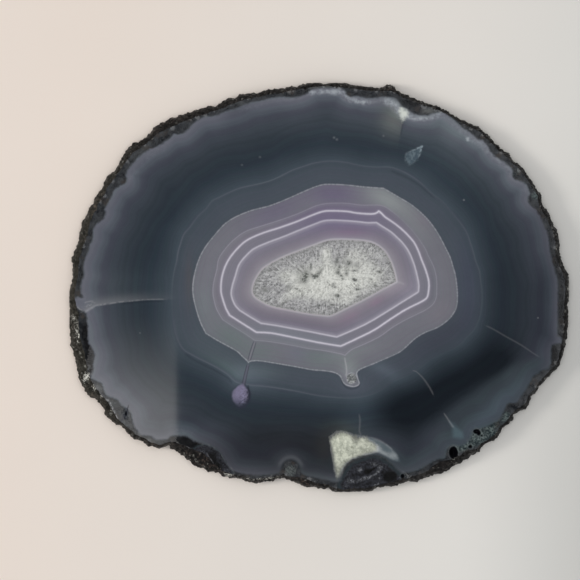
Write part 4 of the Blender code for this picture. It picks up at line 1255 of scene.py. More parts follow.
rind_tone = spots(P, [(215, 461, 16, 12, -40, -0.6), (188, 441, 14, 6, -18, -0.5), (88, 360, 6, 18, 0, -0.75), (186, 443, 14, 5, -8, -0.8), (86, 333, 5, 14, 0, -1.0),
                      (98, 388, 6, 5, -45, 0.7), (118, 406, 5, 6, -40, -0.45), (148, 440, 16, 3, -10, 0.5),
                      (515, 404, 8, 4, 20, -0.5), (540, 215, 6, 14, -60, -0.6), (556, 262, 5, 16, 0, -0.7),
                      (562, 310, 4, 40, 0, -0.7), (553, 356, 5, 14, 0, -1.1), (232, 476, 14, 3, 10, -0.5), (262, 474, 30, 3, 0, -0.4), (320, 484, 20, 4, -10, -0.3),
                      (140, 152, 20, 5, 45, 0.35), (427, 110.5, 9, 3.5, -8, 1.0), (411, 103, 12, 5, -25, -0.5), (240, 103, 22, 4, -14, 0.4), (319, 86.5, 22, 3.5, 0, 0.75), (416, 103, 10, 4, -20, -0.5)])

# depth of the wall's relief; it also sets the painted shade in the wall's colour
cavity = np.zeros(len(verts))
cavity[: len(rows) * COLUMNS] = np.concatenate(cavity_rows)
# painted highlights: where the wall and rim glint, their colour gets bright flecks
painted_glint_mask = spots(P, [(86.5, 376, 3.2, 7, -25, 1.0), (94.5, 387.5, 3, 3.4, 0, 0.9), (101, 396, 4, 2, -50, 0.5),
                  (112.5, 410, 2.4, 9, -25, 0.55), (77, 333, 4, 18, 0, 0.50), (72, 318, 3, 5, 0, 0.5),
                  (228.5, 475, 4.5, 2.2, 0, 1.0), (256, 479, 16, 2.4, 0, 0.50), (183, 445, 9, 1.6, -15, 0.4),
                  (190, 458, 18, 8, -30, -0.6), (568.5, 288, 2.4, 14, 0, 0.45), (556, 248, 3, 4, 0, 0.5),
                  (270, 478, 8, 2, 0, 0.4), (312, 484, 6, 2, 0, 0.3), (168, 126, 20, 5, 28, 0.22),
                  (112, 180, 6, 14, 35, 0.18), (392, 88, 6, 3, 0, 0.3), (95, 215, 6, 20, 30, 0.15)])
warm = soft([(205, 462, 34, 12, -20, 1.0), (96, 205, 14, 50, 25, 0.8), (165, 122, 34, 8, 25, 0.9),
             (310, 484, 40, 6, -5, 0.9), (392, 88, 12, 5, 0, 1.0), (100, 404, 24, 10, -45, 0.8),
             (255, 480, 34, 4, 0, 0.8), (150, 444, 20, 5, 0, 0.8), (398, 480, 10, 5, 0, 0.6),
             (440, 468, 16, 8, 30, 0.5)])


def attribute(name, *values, kind="FLOAT_VECTOR"):
    layer = data.attributes.new(name, kind, "POINT")
    if kind == "FLOAT_COLOR":
        flat_values = np.column_stack((values[0], np.ones(len(verts)))).ravel()
        layer.data.foreach_set("color", flat_values.astype(np.float32))
    else:
        values = list(values) + [np.zeros(len(verts))] * (3 - len(values))
        layer.data.foreach_set("vector", np.column_stack(values).ravel().astype(np.float32))


attribute("tone", zone, kind="FLOAT_COLOR")
attribute("ring_a", d["halo"], d["faint"], d["one"])
attribute("ring_b", d["two"], d["three"], d["four"])
attribute("ring_c", d["core"], u, streaks)
attribute("power_a", amp_faint, amp_one, amp_two)
attribute("power_b", amp_three, amp_four, amp_core)
attribute("strands", vein, vein_power, glow)
attribute("strands_b", seam, seam_power, mottle)
attribute("patches", cloud, crystal, white)
attribute("patches_b", gem, eye, arch)
attribute("patches_c", quartz_light, lumpy, lump_light)
attribute("patches_d", tongue, tongue_light, milk)
attribute("patches_e", tube, tube_power, hollow)
attribute("skin", cavity, painted_glint_mask, warm)
attribute("skin_b", rind_tone)


# ------------------------------------------------------------- texture unfolding
uv = data.uv_layers.new(name="OFBake")
corner = np.empty(len(faces) * 3, dtype=np.int32)
data.loops.foreach_get("vertex_index", corner)
kind_of = np.repeat(np.array(kinds), 3)
spot = verts[corner]
coords = np.zeros((len(corner), 2))
scale_top = 0.78 / 0.1512
top = kind_of == 0
coords[top] = (spot[top, :2] + np.array((0.0756, 0.0618))) * scale_top + 0.005
low = kind_of == 2
scale_low = 0.198 / 0.1240
coords[low, 0] = (spot[low, 1] + 0.0620) * scale_low + 0.797
coords[low, 1] = (spot[low, 0] + 0.0756) * scale_low + 0.004
side_of = kind_of == 1
row_of = corner // COLUMNS
column_of = (corner % COLUMNS).astype(float)
first = column_of.reshape(-1, 3).min(1)
wraps = (column_of.reshape(-1, 3).max(1) - first) > COLUMNS / 2
column_of = column_of.reshape(-1, 3)
column_of[wraps] = np.where(column_of[wraps] < COLUMNS / 2, column_of[wraps] + COLUMNS, column_of[wraps])
middle = np.minimum(column_of.min(1), COLUMNS - 1e-6)
strip = np.floor(middle / (COLUMNS / 3)).clip(0, 2)
column_of = column_of.ravel()
strip = np.repeat(strip, 3)
coords[side_of, 0] = (
    0.005 + (column_of[side_of] - strip[side_of] * COLUMNS / 3) / (COLUMNS / 3) * 0.775
)
coords[side_of, 1] = (
    0.668 + strip[side_of] * 0.062 + (1 - row_of[side_of] / (len(rows) - 1)) * 0.052
)
uv.data.foreach_set("uv", coords.astype(np.float32).ravel())


# -------------------------------------------------------------------- materials
class Net:
    """A material's node tree, written as arithmetic."""

    def __init__(self, name):
        self.material = bpy.data.materials.new(name)
        self.material.use_nodes = True
        self.tree = self.material.node_tree
        self.tree.nodes.clear()
        self.out = self.tree.nodes.new("ShaderNodeOutputMaterial")
        self.shader = self.tree.nodes.new("ShaderNodeBsdfPrincipled")
        self.tree.links.new(self.shader.outputs[0], self.out.inputs[0])

    def put(self, socket, value):
        if isinstance(value, Cell):
            self.tree.links.new(value.socket, socket)
        elif isinstance(value, (tuple, list, np.ndarray)):
            value = [float(v) for v in value]
            if len(value) == 3 and len(socket.default_value) == 4:
                value.append(1.0)
            socket.default_value = value
        else:
            socket.default_value = float(value)

    def vector(self, name):
        node = self.tree.nodes.new("ShaderNodeAttribute")
        node.attribute_name = name
        parts = self.tree.nodes.new("ShaderNodeSeparateXYZ")
        self.tree.links.new(node.outputs["Vector"], parts.inputs[0])
        return [Cell(self, s) for s in parts.outputs]

    def colour(self, name):
        node = self.tree.nodes.new("ShaderNodeAttribute")
        node.attribute_name = name
        return Cell(self, node.outputs["Color"])

    def place(self):
        """Position on the stone in mm."""
        node = self.tree.nodes.new("ShaderNodeTexCoord")
        big = self.tree.nodes.new("ShaderNodeVectorMath")
        big.operation = "SCALE"
        big.inputs["Scale"].default_value = 1000.0
        self.tree.links.new(node.outputs["Object"], big.inputs[0])
        return Cell(self, big.outputs[0])

    def join(self, x, y, z):
        node = self.tree.nodes.new("ShaderNodeCombineXYZ")
        for socket, value in zip(node.inputs, (x, y, z)):
            self.put(socket, value)
        return Cell(self, node.outputs[0])

    def split(self, vector):
        node = self.tree.nodes.new("ShaderNodeSeparateXYZ")
        self.put(node.inputs[0], vector)
        return [Cell(self, s) for s in node.outputs]

    def stretch(self, vector, x, y, z):
        node = self.tree.nodes.new("ShaderNodeVectorMath")
        node.operation = "MULTIPLY"
        self.put(node.inputs[0], vector)
        node.inputs[1].default_value = (x, y, z)
        return Cell(self, node.outputs[0])

    def noise(self, where, size, detail=2.0, rough=0.5, distort=0.0):
        """Noise from 0 to 1 round 0.5 with features of about this size."""
        node = self.tree.nodes.new("ShaderNodeTexNoise")
        self.put(node.inputs["Vector"], where)
        node.inputs["Scale"].default_value = 1.0 / size
        node.inputs["Detail"].default_value = detail
        node.inputs["Roughness"].default_value = rough
        node.inputs["Distortion"].default_value = distort
        return Cell(self, node.outputs[0])

    def noise1(self, w, size, detail=2.0, rough=0.5):
        node = self.tree.nodes.new("ShaderNodeTexNoise")
        node.noise_dimensions = "1D"
        self.put(node.inputs["W"], w)
        node.inputs["Scale"].default_value = 1.0 / size
        node.inputs["Detail"].default_value = detail
        node.inputs["Roughness"].default_value = rough
        return Cell(self, node.outputs[0])

    def cells(self, where, size, feature="F1", output="Distance", random=1.0):
        node = self.tree.nodes.new("ShaderNodeTexVoronoi")
        node.feature = feature
        self.put(node.inputs["Vector"], where)
        node.inputs["Scale"].default_value = 1.0 / size
        node.inputs["Randomness"].default_value = random
        return Cell(self, node.outputs[output])

    def grey(self, colour):
        node = self.tree.nodes.new("ShaderNodeSeparateColor")
        self.put(node.inputs[0], colour)
        return Cell(self, node.outputs[0])

    def mix(self, a, b, share):
        node = self.tree.nodes.new("ShaderNodeMix")
        node.data_type = "RGBA"
        node.clamp_factor = True
        self.put(node.inputs[0], share)
        self.put(node.inputs[6], a)
        self.put(node.inputs[7], b)
        return Cell(self, node.outputs[2])

    def times(self, a, factor):
        """Colour times a number."""
        node = self.tree.nodes.new("ShaderNodeVectorMath")
        node.operation = "SCALE"
        self.put(node.inputs[0], a)
        self.put(node.inputs["Scale"], factor)
        return Cell(self, node.outputs[0])

    def bump(self, height, strength, distance):
        node = self.tree.nodes.new("ShaderNodeBump")
        node.inputs["Strength"].default_value = strength
        node.inputs["Distance"].default_value = distance
        self.put(node.inputs["Height"], height)
        self.tree.links.new(node.outputs[0], self.shader.inputs["Normal"])


class Cell:
    """A number, colour or vector inside a node tree."""

    def __init__(self, net, socket):
        self.net, self.socket = net, socket

    def op(self, name, *others, clamp=False):
        node = self.net.tree.nodes.new("ShaderNodeMath")
        node.operation = name
        node.use_clamp = clamp
        self.net.put(node.inputs[0], self)
        for k, value in enumerate(others):
            self.net.put(node.inputs[k + 1], value)
        return Cell(self.net, node.outputs[0])

    def __add__(self, v):
        return self.op("ADD", v)

    __radd__ = __add__

    def __sub__(self, v):
        return self.op("SUBTRACT", v)

    def __rsub__(self, v):
        return self.op("MULTIPLY", -1.0).op("ADD", v)

    def __mul__(self, v):
        return self.op("MULTIPLY", v)

    __rmul__ = __mul__

    def __truediv__(self, v):
        return self.op("DIVIDE", v)

    def least(self, v):
        return self.op("MAXIMUM", v)

    def most(self, v):
        return self.op("MINIMUM", v)

    def size(self):
        return self.op("ABSOLUTE")

    def power(self, v):
        return self.op("POWER", v)

    def clip(self):
        return self.op("MULTIPLY", 1.0, clamp=True)

    def fade(self, low, high):
        """0 below low, 1 above high; low may be the larger."""
        node = self.net.tree.nodes.new("ShaderNodeMapRange")
        node.interpolation_type = "SMOOTHSTEP"
        turned = low > high
        node.inputs["From Min"].default_value = min(low, high)
        node.inputs["From Max"].default_value = max(low, high)
        node.inputs["To Min"].default_value = 1.0 if turned else 0.0
        node.inputs["To Max"].default_value = 0.0 if turned else 1.0
        self.net.put(node.inputs["Value"], self)
        return Cell(self.net, node.outputs[0])

    def line(self, width):
        """A soft line where the value is 0."""
        scaled = self / width
        return (scaled * scaled * -1.0).op("EXPONENT")


def face_material(name, gloss):
    n = Net(name)
    at = n.place()
    tone = n.colour("tone")
    halo, faint, one = n.vector("ring_a")
    two, three, four = n.vector("ring_b")
    core, growth, streaks = n.vector("ring_c")
    p_faint, p_one, p_two = n.vector("power_a")
    p_three, p_four, p_core = n.vector("power_b")
    vein, p_vein, glow = n.vector("strands")
    seam, p_seam, mottle = n.vector("strands_b")
    cloud, crystal, white = n.vector("patches")
    gem, eye, arch = n.vector("patches_b")
    light, lumpy, lump = n.vector("patches_c")
    tongue, tongue_light, milk = n.vector("patches_d")
    tube, p_tube, hollow = n.vector("patches_e")
    rind_light, _, _ = n.vector("skin_b")
    x, y, _ = n.split(at)

    slow = n.noise(at, 16.0, 2.0)
    tremble = n.noise(at, 0.9, 2.0) - 0.5
    grit = n.noise(at, 0.30, 2.0, 0.6)
    pepper = n.noise(at, 0.54, 2.0, 0.68)

    # growth bands
    path = growth + (slow - 0.5) * 0.25
    broad = n.noise1(path, 0.11, 3.0, 0.6)
    narrow = n.noise1(path, 0.035, 2.0, 0.6)
    hair = n.noise1(path, 0.012, 1.0, 0.5)
    outer = growth.fade(4.95, 5.05)
    bands = 1.0 + (broad - 0.5) * (0.12 + outer * 0.22) + (narrow - 0.5) * (0.08 + outer * 0.08) + (hair - 0.5) * 0.05
    mist = 1.0 + (n.noise(at, 7.0, 3.0, 0.55) - 0.5) * 0.14 + (n.noise(at, 1.3, 2.0, 0.55) - 0.5) * 0.07
    body = n.times(tone, bands * mist)
    hue = n.noise1(path + 40.0, 0.09, 2.0, 0.6).fade(0.36, 0.64)
    body = n.mix(n.stretch(body, 1.022, 0.99, 1.012), n.stretch(body, 0.978, 1.01, 0.99), hue)

    # thin lines
    def draw(base, distance, width, colour, power, waver=0.35):
        there = (distance + tremble * waver).line(width)
        return n.mix(base, colour, there * power)

    body = draw(body, faint + 2.6, 1.3, seen(48, 55, 64), p_faint * 0.26)
    body = draw(body, faint, 0.8, seen(114, 120, 128), p_faint * 0.42)
    body = draw(body, one, 0.62, seen(174, 176, 182), p_one)
    body = draw(body, two + 1.5, 1.2, seen(140, 138, 146), p_two * 0.5)
    body = draw(body, two, 0.62, seen(166, 162, 174), p_two)
    body = draw(body, three, 1.9, seen(150, 142, 164), 0.25)
    body = draw(body, three, 0.92, seen(210, 207, 217), p_three)
    body = draw(body, four + 1.4, 1.7, seen(152, 148, 160), 0.42)
    body = draw(body, four, 0.85, seen(204, 201, 212), p_four)
    body = draw(body, core, 0.9, seen(182, 177, 186), p_core)

    # the tubes' necks
    strip = n.mix(seen(120, 119, 128), seen(92, 92, 105), growth.fade(3.9, 4.2))
    body = n.mix(body, strip, tube.size().fade(1.0, 0.5) * p_tube * 0.8)
    body = n.mix(body, seen(66, 64, 76), (tube.size() - 1.0).line(0.42) * p_tube * 0.75)

    # streaks that run along the saw's path
    lines = n.noise(n.stretch(at, 0.05, 1.0, 1.0), 0.8, 3.0, 0.6)
    body = n.times(body, 1.0 + (lines - 0.5) * streaks * 0.35)

    # quartz in the middle: grains and wisps that lean away from its middle
    rx, ry = (x - 1.7) / 484.0, (y - 2.9) / 130.0
    far = (rx * rx + ry * ry).power(0.5).least(0.0005)
    rx, ry = rx / far, ry / far
    level = rx * rx - ry * ry
    slant = rx * ry * 2.0
    p, q = (x + y) * 0.7071, (x - y) * 0.7071
    wisps = 0.0
    for weight, where in (
        (level.least(0.0), n.stretch(at, 0.17, 1.0, 1.0)),
        ((level * -1.0).least(0.0), n.stretch(at, 1.0, 0.17, 1.0)),
        (slant.least(0.0), n.join(p * 0.17, q, 3.0)),
        ((slant * -1.0).least(0.0), n.join(p, q * 0.17, 5.0)),
    ):
        wisps = (n.noise(where, 0.50, 2.0, 0.6, 0.25) - 0.5) * weight + wisps
    tiny = n.grey(n.cells(at, 0.62, "F1", "Color"))
    here = n.noise(at, 2.4, 2.0, 0.5).fade(0.38, 0.62)
    salt = (pepper - 0.5) * 1.45 + wisps * (0.35 + here * 1.75) + (tiny - 0.5) * 0.36
    cloudy = (milk + (n.noise(at, 2.6, 3.0, 0.6) - 0.5) * 0.55).fade(0.12, 0.95)
    rim_q = n.mix(seen(82, 82, 84), seen(176, 176, 177), salt.fade(-0.62, 0.62))
    mid_q = n.mix(seen(130, 131, 126), seen(206, 207, 202), (salt * 0.85).fade(-0.62, 0.36))
    quartz = n.mix(rim_q, mid_q, cloudy)
    # painted shade: the quartz drawn dark under the dark spots, which sit mostly over its pits
    dark = (light * -1.3 * (1.0 + (pepper - 0.5) * 4.2 + wisps * 3.0)).clip()
    quartz = n.mix(quartz, seen(62, 66, 61), dark * 0.97)
    quartz = n.mix(quartz, seen(224, 225, 219), light.fade(0.08, 0.9) * 0.5)
    quartz = n.mix(quartz, seen(100, 101, 100), (core + 2.4 + tremble).line(1.4) * 0.38)
    in_quartz = (core + tremble * 0.5).fade(-0.5, -1.5)
    body = n.mix(body, quartz, in_quartz)

    # the tube's eye and the arch at the lower rim
    eye_x, eye_y = x + 23.6, y + 32.2
    turned = (eye_x - eye_y * 0.35).fade(-0.9, 1.8)
    body = n.mix(body, seen(50, 51, 64), (eye - 0.8).line(1.6) * (0.12 + turned * 0.60))
    eye_tone = n.mix(seen(115, 111, 134), seen(80, 81, 98), (eye_y * -1.0).fade(0.0, 3.0))
    eye_tone = n.mix(eye_tone, seen(98, 97, 115), (eye_x.size() - 0.8).fade(0.0, 1.6) * 0.5)
    eye_tone = n.times(eye_tone, 1.0 + (n.noise(at, 0.62, 3.0, 0.7) - 0.5) * (0.5 + turned * 2.6) - turned * 0.12)
    body = n.mix(body, eye_tone, (eye + tremble * 1.6).fade(1.0, -2.4))
    arch_y = y + 55.1
    body = n.mix(body, seen(100, 104, 108), (arch - 6.5).line(2.2) * arch_y.fade(0.4, 2.6) * 0.30)
    body = n.mix(body, seen(24, 27, 31), (arch - 1.6 + tremble * 1.2).line(2.4) * 0.88)

    # veins and cracks
    body = n.mix(body, n.mix(seen(118, 120, 124), seen(80, 97, 104), x.fade(20.0, 35.0)), glow * 0.62)

    # pale inclusion
    edge = (gem + tremble * 1.6).line(0.9) * n.noise(at, 1.2, 2.0).fade(0.34, 0.66) * (0.25 + 0.75 * (x + y).fade(66.5, 70.5))
    body = n.mix(body, n.mix(seen(80, 94, 104), seen(112, 126, 134), n.noise(n.stretch(at, 1.0, 0.5, 1.0), 0.8, 3.0, 0.6).fade(0.40, 0.66)), gem.fade(0.6, -1.8) * 0.62)
    body = n.mix(body, seen(138, 152, 160), edge * 0.75)

    # whitish clouds under the rind
    puff = (cloud * (0.62 + (n.noise(at, 1.3, 3.0, 0.62) - 0.45) * 2.4)).fade(0.02, 0.78)
    body = n.mix(body, seen(160, 166, 172), puff * 0.78)
    chalk = (white + tremble * 4.5 + (pepper - 0.5) * 3.0).fade(2.2, -3.2)
    body = n.mix(body, seen(205, 209, 202), chalk * 0.92)

    # specks
    for sx, sy, size, power in SPECKS:
        dx = x - (sx - MIDDLE[0]) * 0.3
        dy = y - (MIDDLE[1] - sy) * 0.3
        body = n.mix(body, seen(140, 144, 148), ((dx * dx + dy * dy).power(0.5) + tremble * 0.30).fade(size * 0.27, 0.0) * (power * 0.85))

    # bluish tongue and coarse crystals at the lower rim
    patch = n.noise(at, 2.2, 3.0, 0.55)
    tongue_in = (tongue + tremble * 1.6).fade(1.2, -1.8)
    tongue_tone = n.mix(seen(84, 94, 100), seen(158, 163, 165), (tongue_light + (pepper - 0.5) * 0.3).fade(0.0, 1.0))
    body = n.mix(body, tongue_tone, tongue_in * 0.92)
    loose = 0.35 + (x * 0.15 + y).fade(-47.0, -43.4) * 0.65
    spikes = (n.noise(n.stretch(at, 1.0, 0.40, 1.0), 0.70, 3.0, 0.65) - 0.5) * 12.0 + (pepper - 0.5) * 4.0
    druse_in = (crystal + spikes * loose).fade(1.6, -3.2)
    druse_in = druse_in * (0.35 + 0.65 * (crystal + (patch - 0.5) * 5.0).fade(1.0, -4.0))
    druse_value = ((pepper - 0.5) * 0.75 + (tiny - 0.5) * 0.3 + (n.noise(at, 1.8, 2.0) - 0.5) * 1.1).fade(-0.50, 0.45)
    druse = n.mix(seen(134, 138, 124), seen(200, 203, 186), druse_value)
    # painted shade: the crystals drawn darker within a few steps of the patch's edge, down the side of their hollow
    druse = n.times(druse, 0.60 + 0.40 * crystal.fade(0.0, -5.0))
    druse = n.times(druse, 1.0 - y.fade(-50.0, -55.5) * 0.42)
    # a dim wedge in it, and its dim corner at the upper left
    wx, wy = x - 10.9, y + 45.0
    wedge = ((wx * wx + wy * wy).power(0.5) + tremble * 1.2).fade(2.2, 0.5)
    cx, cy = x - 4.4, y + 43.4
    corner_in = ((cx * cx + cy * cy * 2.0).power(0.5) + tremble * 1.4).fade(3.2, 0.6)
    druse = n.times(druse, 1.0 - wedge.least(corner_in) * 0.62)
    druse = n.times(druse, 1.0 - x.fade(6.0, 15.0) * 0.20)
    body = n.mix(body, druse, druse_in)

    # the rind
    ragged_rind = halo + (n.noise(at, 1.1, 3.0, 0.6) - 0.5) * 3.6
    rind_in = ragged_rind.fade(-1.6, 1.6)
    rind_value = ((patch - 0.5) * 1.5 + (grit - 0.5) * 0.7).fade(-0.35, 0.45)
    rind = n.mix(seen(28, 30, 33), seen(62, 64, 67), rind_value)
    rind = n.mix(rind, seen(58, 53, 50), n.noise(n.stretch(at, -1.0, 1.0, 1.0), 3.4, 3.0, 0.6).fade(0.54, 0.66) * 0.6)
    rind = n.mix(rind, seen(92, 94, 94), (rind_light * (0.5 + grit)).fade(0.05, 1.0) * 0.8)
    rind = n.mix(rind, seen(14, 15, 17), (rind_light * -1.0).fade(0.05, 0.9) * 0.85)
    moss = (mottle * (0.4 + n.noise(at, 1.5, 3.0, 0.6) * 1.3)).fade(0.25, 0.95)
    rind = n.mix(rind, n.mix(seen(34, 43, 46), seen(96, 107, 106), (n.noise(at, 1.2, 4.0, 0.72) + (pepper - 0.5) * 0.6).fade(0.38, 0.68)), moss * 0.85)
    lump_grain = 1.0 + (n.noise(at, 0.60, 3.0, 0.75) - 0.5) * 5.2
    # lumps drawn grey and hollows near-black: partly the rind's own tone, partly painted highlight and painted shade
    lump_tone = n.mix(seen(38, 39, 44), seen(97, 99, 103), (lump + (grit - 0.5) * 0.8 + tremble * 0.5).fade(0.10, 0.95))
    lump_tone = n.times(n.mix(lump_tone, seen(13, 13, 16), (lump * -1.0).fade(0.0, 0.7)), lump_grain.least(0.25))
    dome_dark = n.mix(rind, seen(42, 49, 53), (lumpy.fade(0.0, 0.5)))
    rind = n.mix(dome_dark, lump_tone, ((lumpy - 0.5) * 2.0 + (patch - 0.5) * 1.5).fade(-0.2, 0.6))
    body = n.mix(body, rind, rind_in)
    arch_tone = n.mix(seen(40, 44, 46), seen(92, 97, 96), (grit * 0.5 + pepper * 0.5).fade(0.36, 0.64))
    body = n.mix(body, arch_tone, (arch + tremble * 3.0 + (patch - 0.5) * 3.0).fade(0.4, -3.0) * 0.85)

    # cracks and veins, also across the rind
    body = n.mix(body, seen(36, 38, 46), (seam + tremble * 0.5).line(1.0) * p_seam * (1.0 + rind_in))
    body = n.mix(body, seen(172, 172, 176), (vein + tremble * 0.6).line(1.0) * p_vein * (1.0 - rind_in * (1.0 - n.noise(at, 0.8, 2.0, 0.6).fade(0.42, 0.60)) * 0.9))

    # the small vug with its sugary grains
    vx, vy = x - 9.75, y + 27.35
    vug = ((vx * vx + vy * vy).power(0.5) + tremble * 0.9).fade(1.75, 1.15)
    sugar = (pepper - 0.5) * 3.4 + (tiny - 0.5) * 1.4 - (vx * 0.7 + vy * 0.4).fade(-0.4, 0.9) * 0.55
    body = n.mix(body, n.mix(seen(36, 41, 41), seen(150, 153, 153), sugar.fade(-0.45, 0.85)), vug * 0.92)

    # open places: a pale ring at their lip, and painted shade that draws the deeper hollows near-black
    body = n.mix(body, seen(118, 122, 124), hollow.fade(0.01, 0.07) * hollow.fade(0.30, 0.14) * 0.22)
    pocket = hollow.fade(0.22, 0.50)
    body = n.mix(body, seen(13, 15, 18), pocket)

    n.put(n.shader.inputs["Base Color"], body)
    broken = in_quartz.least(druse_in * 0.9)
    rough_value = 0.03 + (broken * 0.24).least(rind_in * (0.04 + grit * 0.10)).least(pocket * 0.35).least(vug * 0.30).least(lumpy * rind_in * 0.16)
    n.put(n.shader.inputs["Roughness"], rough_value)
    n.shader.inputs["IOR"].default_value = 1.54
    n.shader.inputs["Specular IOR Level"].default_value = gloss
    n.bump((grit + pepper) * (in_quartz * 0.25 + (druse_in * 0.9).least(lumpy * rind_in) * 0.8 + rind_in * 0.10), 0.5, 0.00012)
    return n.material


def wall_material():
    n = Net("agate_rind_wall")
    at = n.place()
    cave_shade, painted_glint_mask, warm = n.vector("skin")
    x, _, _ = n.split(at)
    grit = n.noise(at, 0.30, 3.0, 0.65)
    crumbs = n.noise(at, 0.9, 3.0, 0.6)
    patches = n.noise(at, 6.0, 3.0, 0.55)
    # painted shade: the wall drawn darker where its surface lies deeper in
    value = ((grit - 0.5) * 1.1 + (crumbs - 0.5) * 1.3 - (cave_shade - 0.52) * 0.6).fade(-0.35, 0.6)
    # painted light: both tones drawn brighter at the far left, the side that faces the key light
    left = (x * -1.0).fade(50.0, 66.0)
    dark = n.mix(n.mix(seen(12, 11, 12), seen(24, 24, 22), left), n.mix(seen(42, 39, 40), seen(70, 68, 62), left), value)
    pale = n.mix(seen(46, 50, 49), n.mix(seen(82, 70, 63), seen(112, 100, 90), left), warm)
    body = n.mix(dark, pale, value.fade(0.35, 0.85) * (0.20 + warm * 0.55 + patches.fade(0.42, 0.62) * 0.30))
    # painted highlights: bright flecks drawn into the colour where the wall glints
    painted_glints = (painted_glint_mask * (0.42 + (crumbs - 0.5) * 3.0 + (grit - 0.5) * 4.0)).fade(0.16, 0.60)
    # pale grains that are also less rough: partly the rock's own grains, partly painted glints
    fleck = n.grey(n.cells(at, 0.7, "F1", "Color")).fade(0.92, 0.97) * crumbs.fade(0.44, 0.60)
    body = n.mix(body, seen(150, 150, 145), fleck * 0.45)
    body = n.mix(body, seen(206, 206, 199), painted_glints)
    n.put(n.shader.inputs["Base Color"], body)
    shiny = n.grey(n.cells(at, 1.3, "F1", "Color")).fade(0.55, 0.8)
    n.put(n.shader.inputs["Roughness"], 0.66 - shiny * 0.24 - fleck * 0.15 + (grit - 0.5) * 0.2)
    n.shader.inputs["IOR"].default_value = 1.45
    n.shader.inputs["Specular IOR Level"].default_value = 0.22
    n.bump(grit * 0.7 + crumbs, 0.9, 0.00025)
    return n.material


def base_material():
    n = Net("agate_sawn_underside")
    at = n.place()
    tone = n.colour("tone")
    halo, faint, one = n.vector("ring_a")
    two, three, four = n.vector("ring_b")
    core, growth, _ = n.vector("ring_c")
    body = tone
    for distance, power in ((one, 0.45), (three, 0.7), (four, 0.6), (faint, 0.15)):
        body = n.mix(body, seen(170, 166, 176), distance.line(1.3) * power)
    grit = n.noise(at, 0.35, 3.0, 0.65)
    quartz = n.mix(seen(120, 121, 118), seen(186, 187, 182), grit.fade(0.3, 0.7))
    body = n.mix(body, quartz, core.fade(0.6, -0.6))
    rind = n.mix(seen(34, 34, 36), seen(74, 72, 72), grit.fade(0.35, 0.7))
    body = n.mix(body, rind, (halo + (n.noise(at, 1.0, 3.0) - 0.5) * 4.0).fade(-0.8, 1.2))
    # arcs left by the saw
    x, y, _ = n.split(at)
    ax, ay = x + 70.0, y + 190.0
    sweep = (ax * ax + ay * ay).power(0.5)
    arcs = n.noise1(sweep, 0.55, 3.0, 0.6)
    wide = n.noise1(sweep, 4.5, 2.0, 0.5)
    body = n.mix(body, seen(150, 150, 150), 0.10 + arcs.fade(0.40, 0.72) * 0.13 + wide.fade(0.45, 0.7) * 0.08)
    n.put(n.shader.inputs["Base Color"], body)
    n.put(n.shader.inputs["Roughness"], 0.50 + (arcs - 0.5) * 0.25 + (grit - 0.5) * 0.12)
    n.shader.inputs["IOR"].default_value = 1.54
    n.bump(arcs + grit * 0.35, 0.5, 0.00006)
    return n.material


for material in (face_material("agate_polished_face", 0.5), wall_material(), base_material(),
                 face_material("agate_broken_rind", 0.07)):
    data.materials.append(material)

stone = bpy.data.objects.new("agate_slice_surface", data)
bpy.context.scene.collection.objects.link(stone)
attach(stone, "root")
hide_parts("agate_slice")


# ------------------------------------------------------------------------ floor
def floor_material():
    n = Net("pale_floor")
    at = n.place()
    x, y, _ = n.split(at)
    # painted light: the floor drawn warmer and a little brighter on the left, towards the key light
    across = (x * 0.006 - y * 0.0012).op("ADD", 0.5, clamp=True)
    body = n.mix((0.856, 0.760, 0.685, 1), (0.800, 0.792, 0.760, 1), across)
    # painted shade: the floor softly darker towards the right, like a broad shadow falling there
    painted_floor_shade = x.fade(38.0, 90.0) * x.fade(260.0, 95.0) * y.fade(-260.0, -95.0) * (0.05 + y.fade(70.0, -60.0) * 0.18)
    body = n.times(body, 1.0 - painted_floor_shade)
    wash = n.noise(at, 60.0, 3.0, 0.5)
    body = n.times(body, 0.97 + wash * 0.05)
    n.put(n.shader.inputs["Base Color"], body)
    n.shader.inputs["Roughness"].default_value = 0.75
    n.shader.inputs["IOR"].default_value = 1.30
    return n.material


floor_mesh = bpy.data.meshes.new("floor")
half = 3.0
floor_mesh.from_pydata(
    [(-half, -half, 0), (half, -half, 0), (half, half, 0), (-half, half, 0)], [], [(0, 1, 2, 3)]
)
floor = bpy.data.objects.new("floor", floor_mesh)
floor.location.z = -0.00005
bpy.context.scene.collection.objects.link(floor)
floor_mesh.materials.append(floor_material())

# ----------------------------------------------------------------- camera, light
camera_data = bpy.data.cameras.new("camera")
camera_data.sensor_width = 36.0
camera_data.lens = 250.0
camera_data.clip_start = 0.01
camera_data.clip_end = 20.0
camera = bpy.data.objects.new("camera", camera_data)
bpy.context.scene.collection.objects.link(camera)
aim_x, aim_y = place((290.0, 290.0))
frame_width = 580 * GRID
distance = frame_width * camera_data.lens / camera_data.sensor_width
camera.location = (aim_x, aim_y, THICKNESS + distance)
camera.rotation_euler = (0, 0, 0)
bpy.context.scene.camera = camera

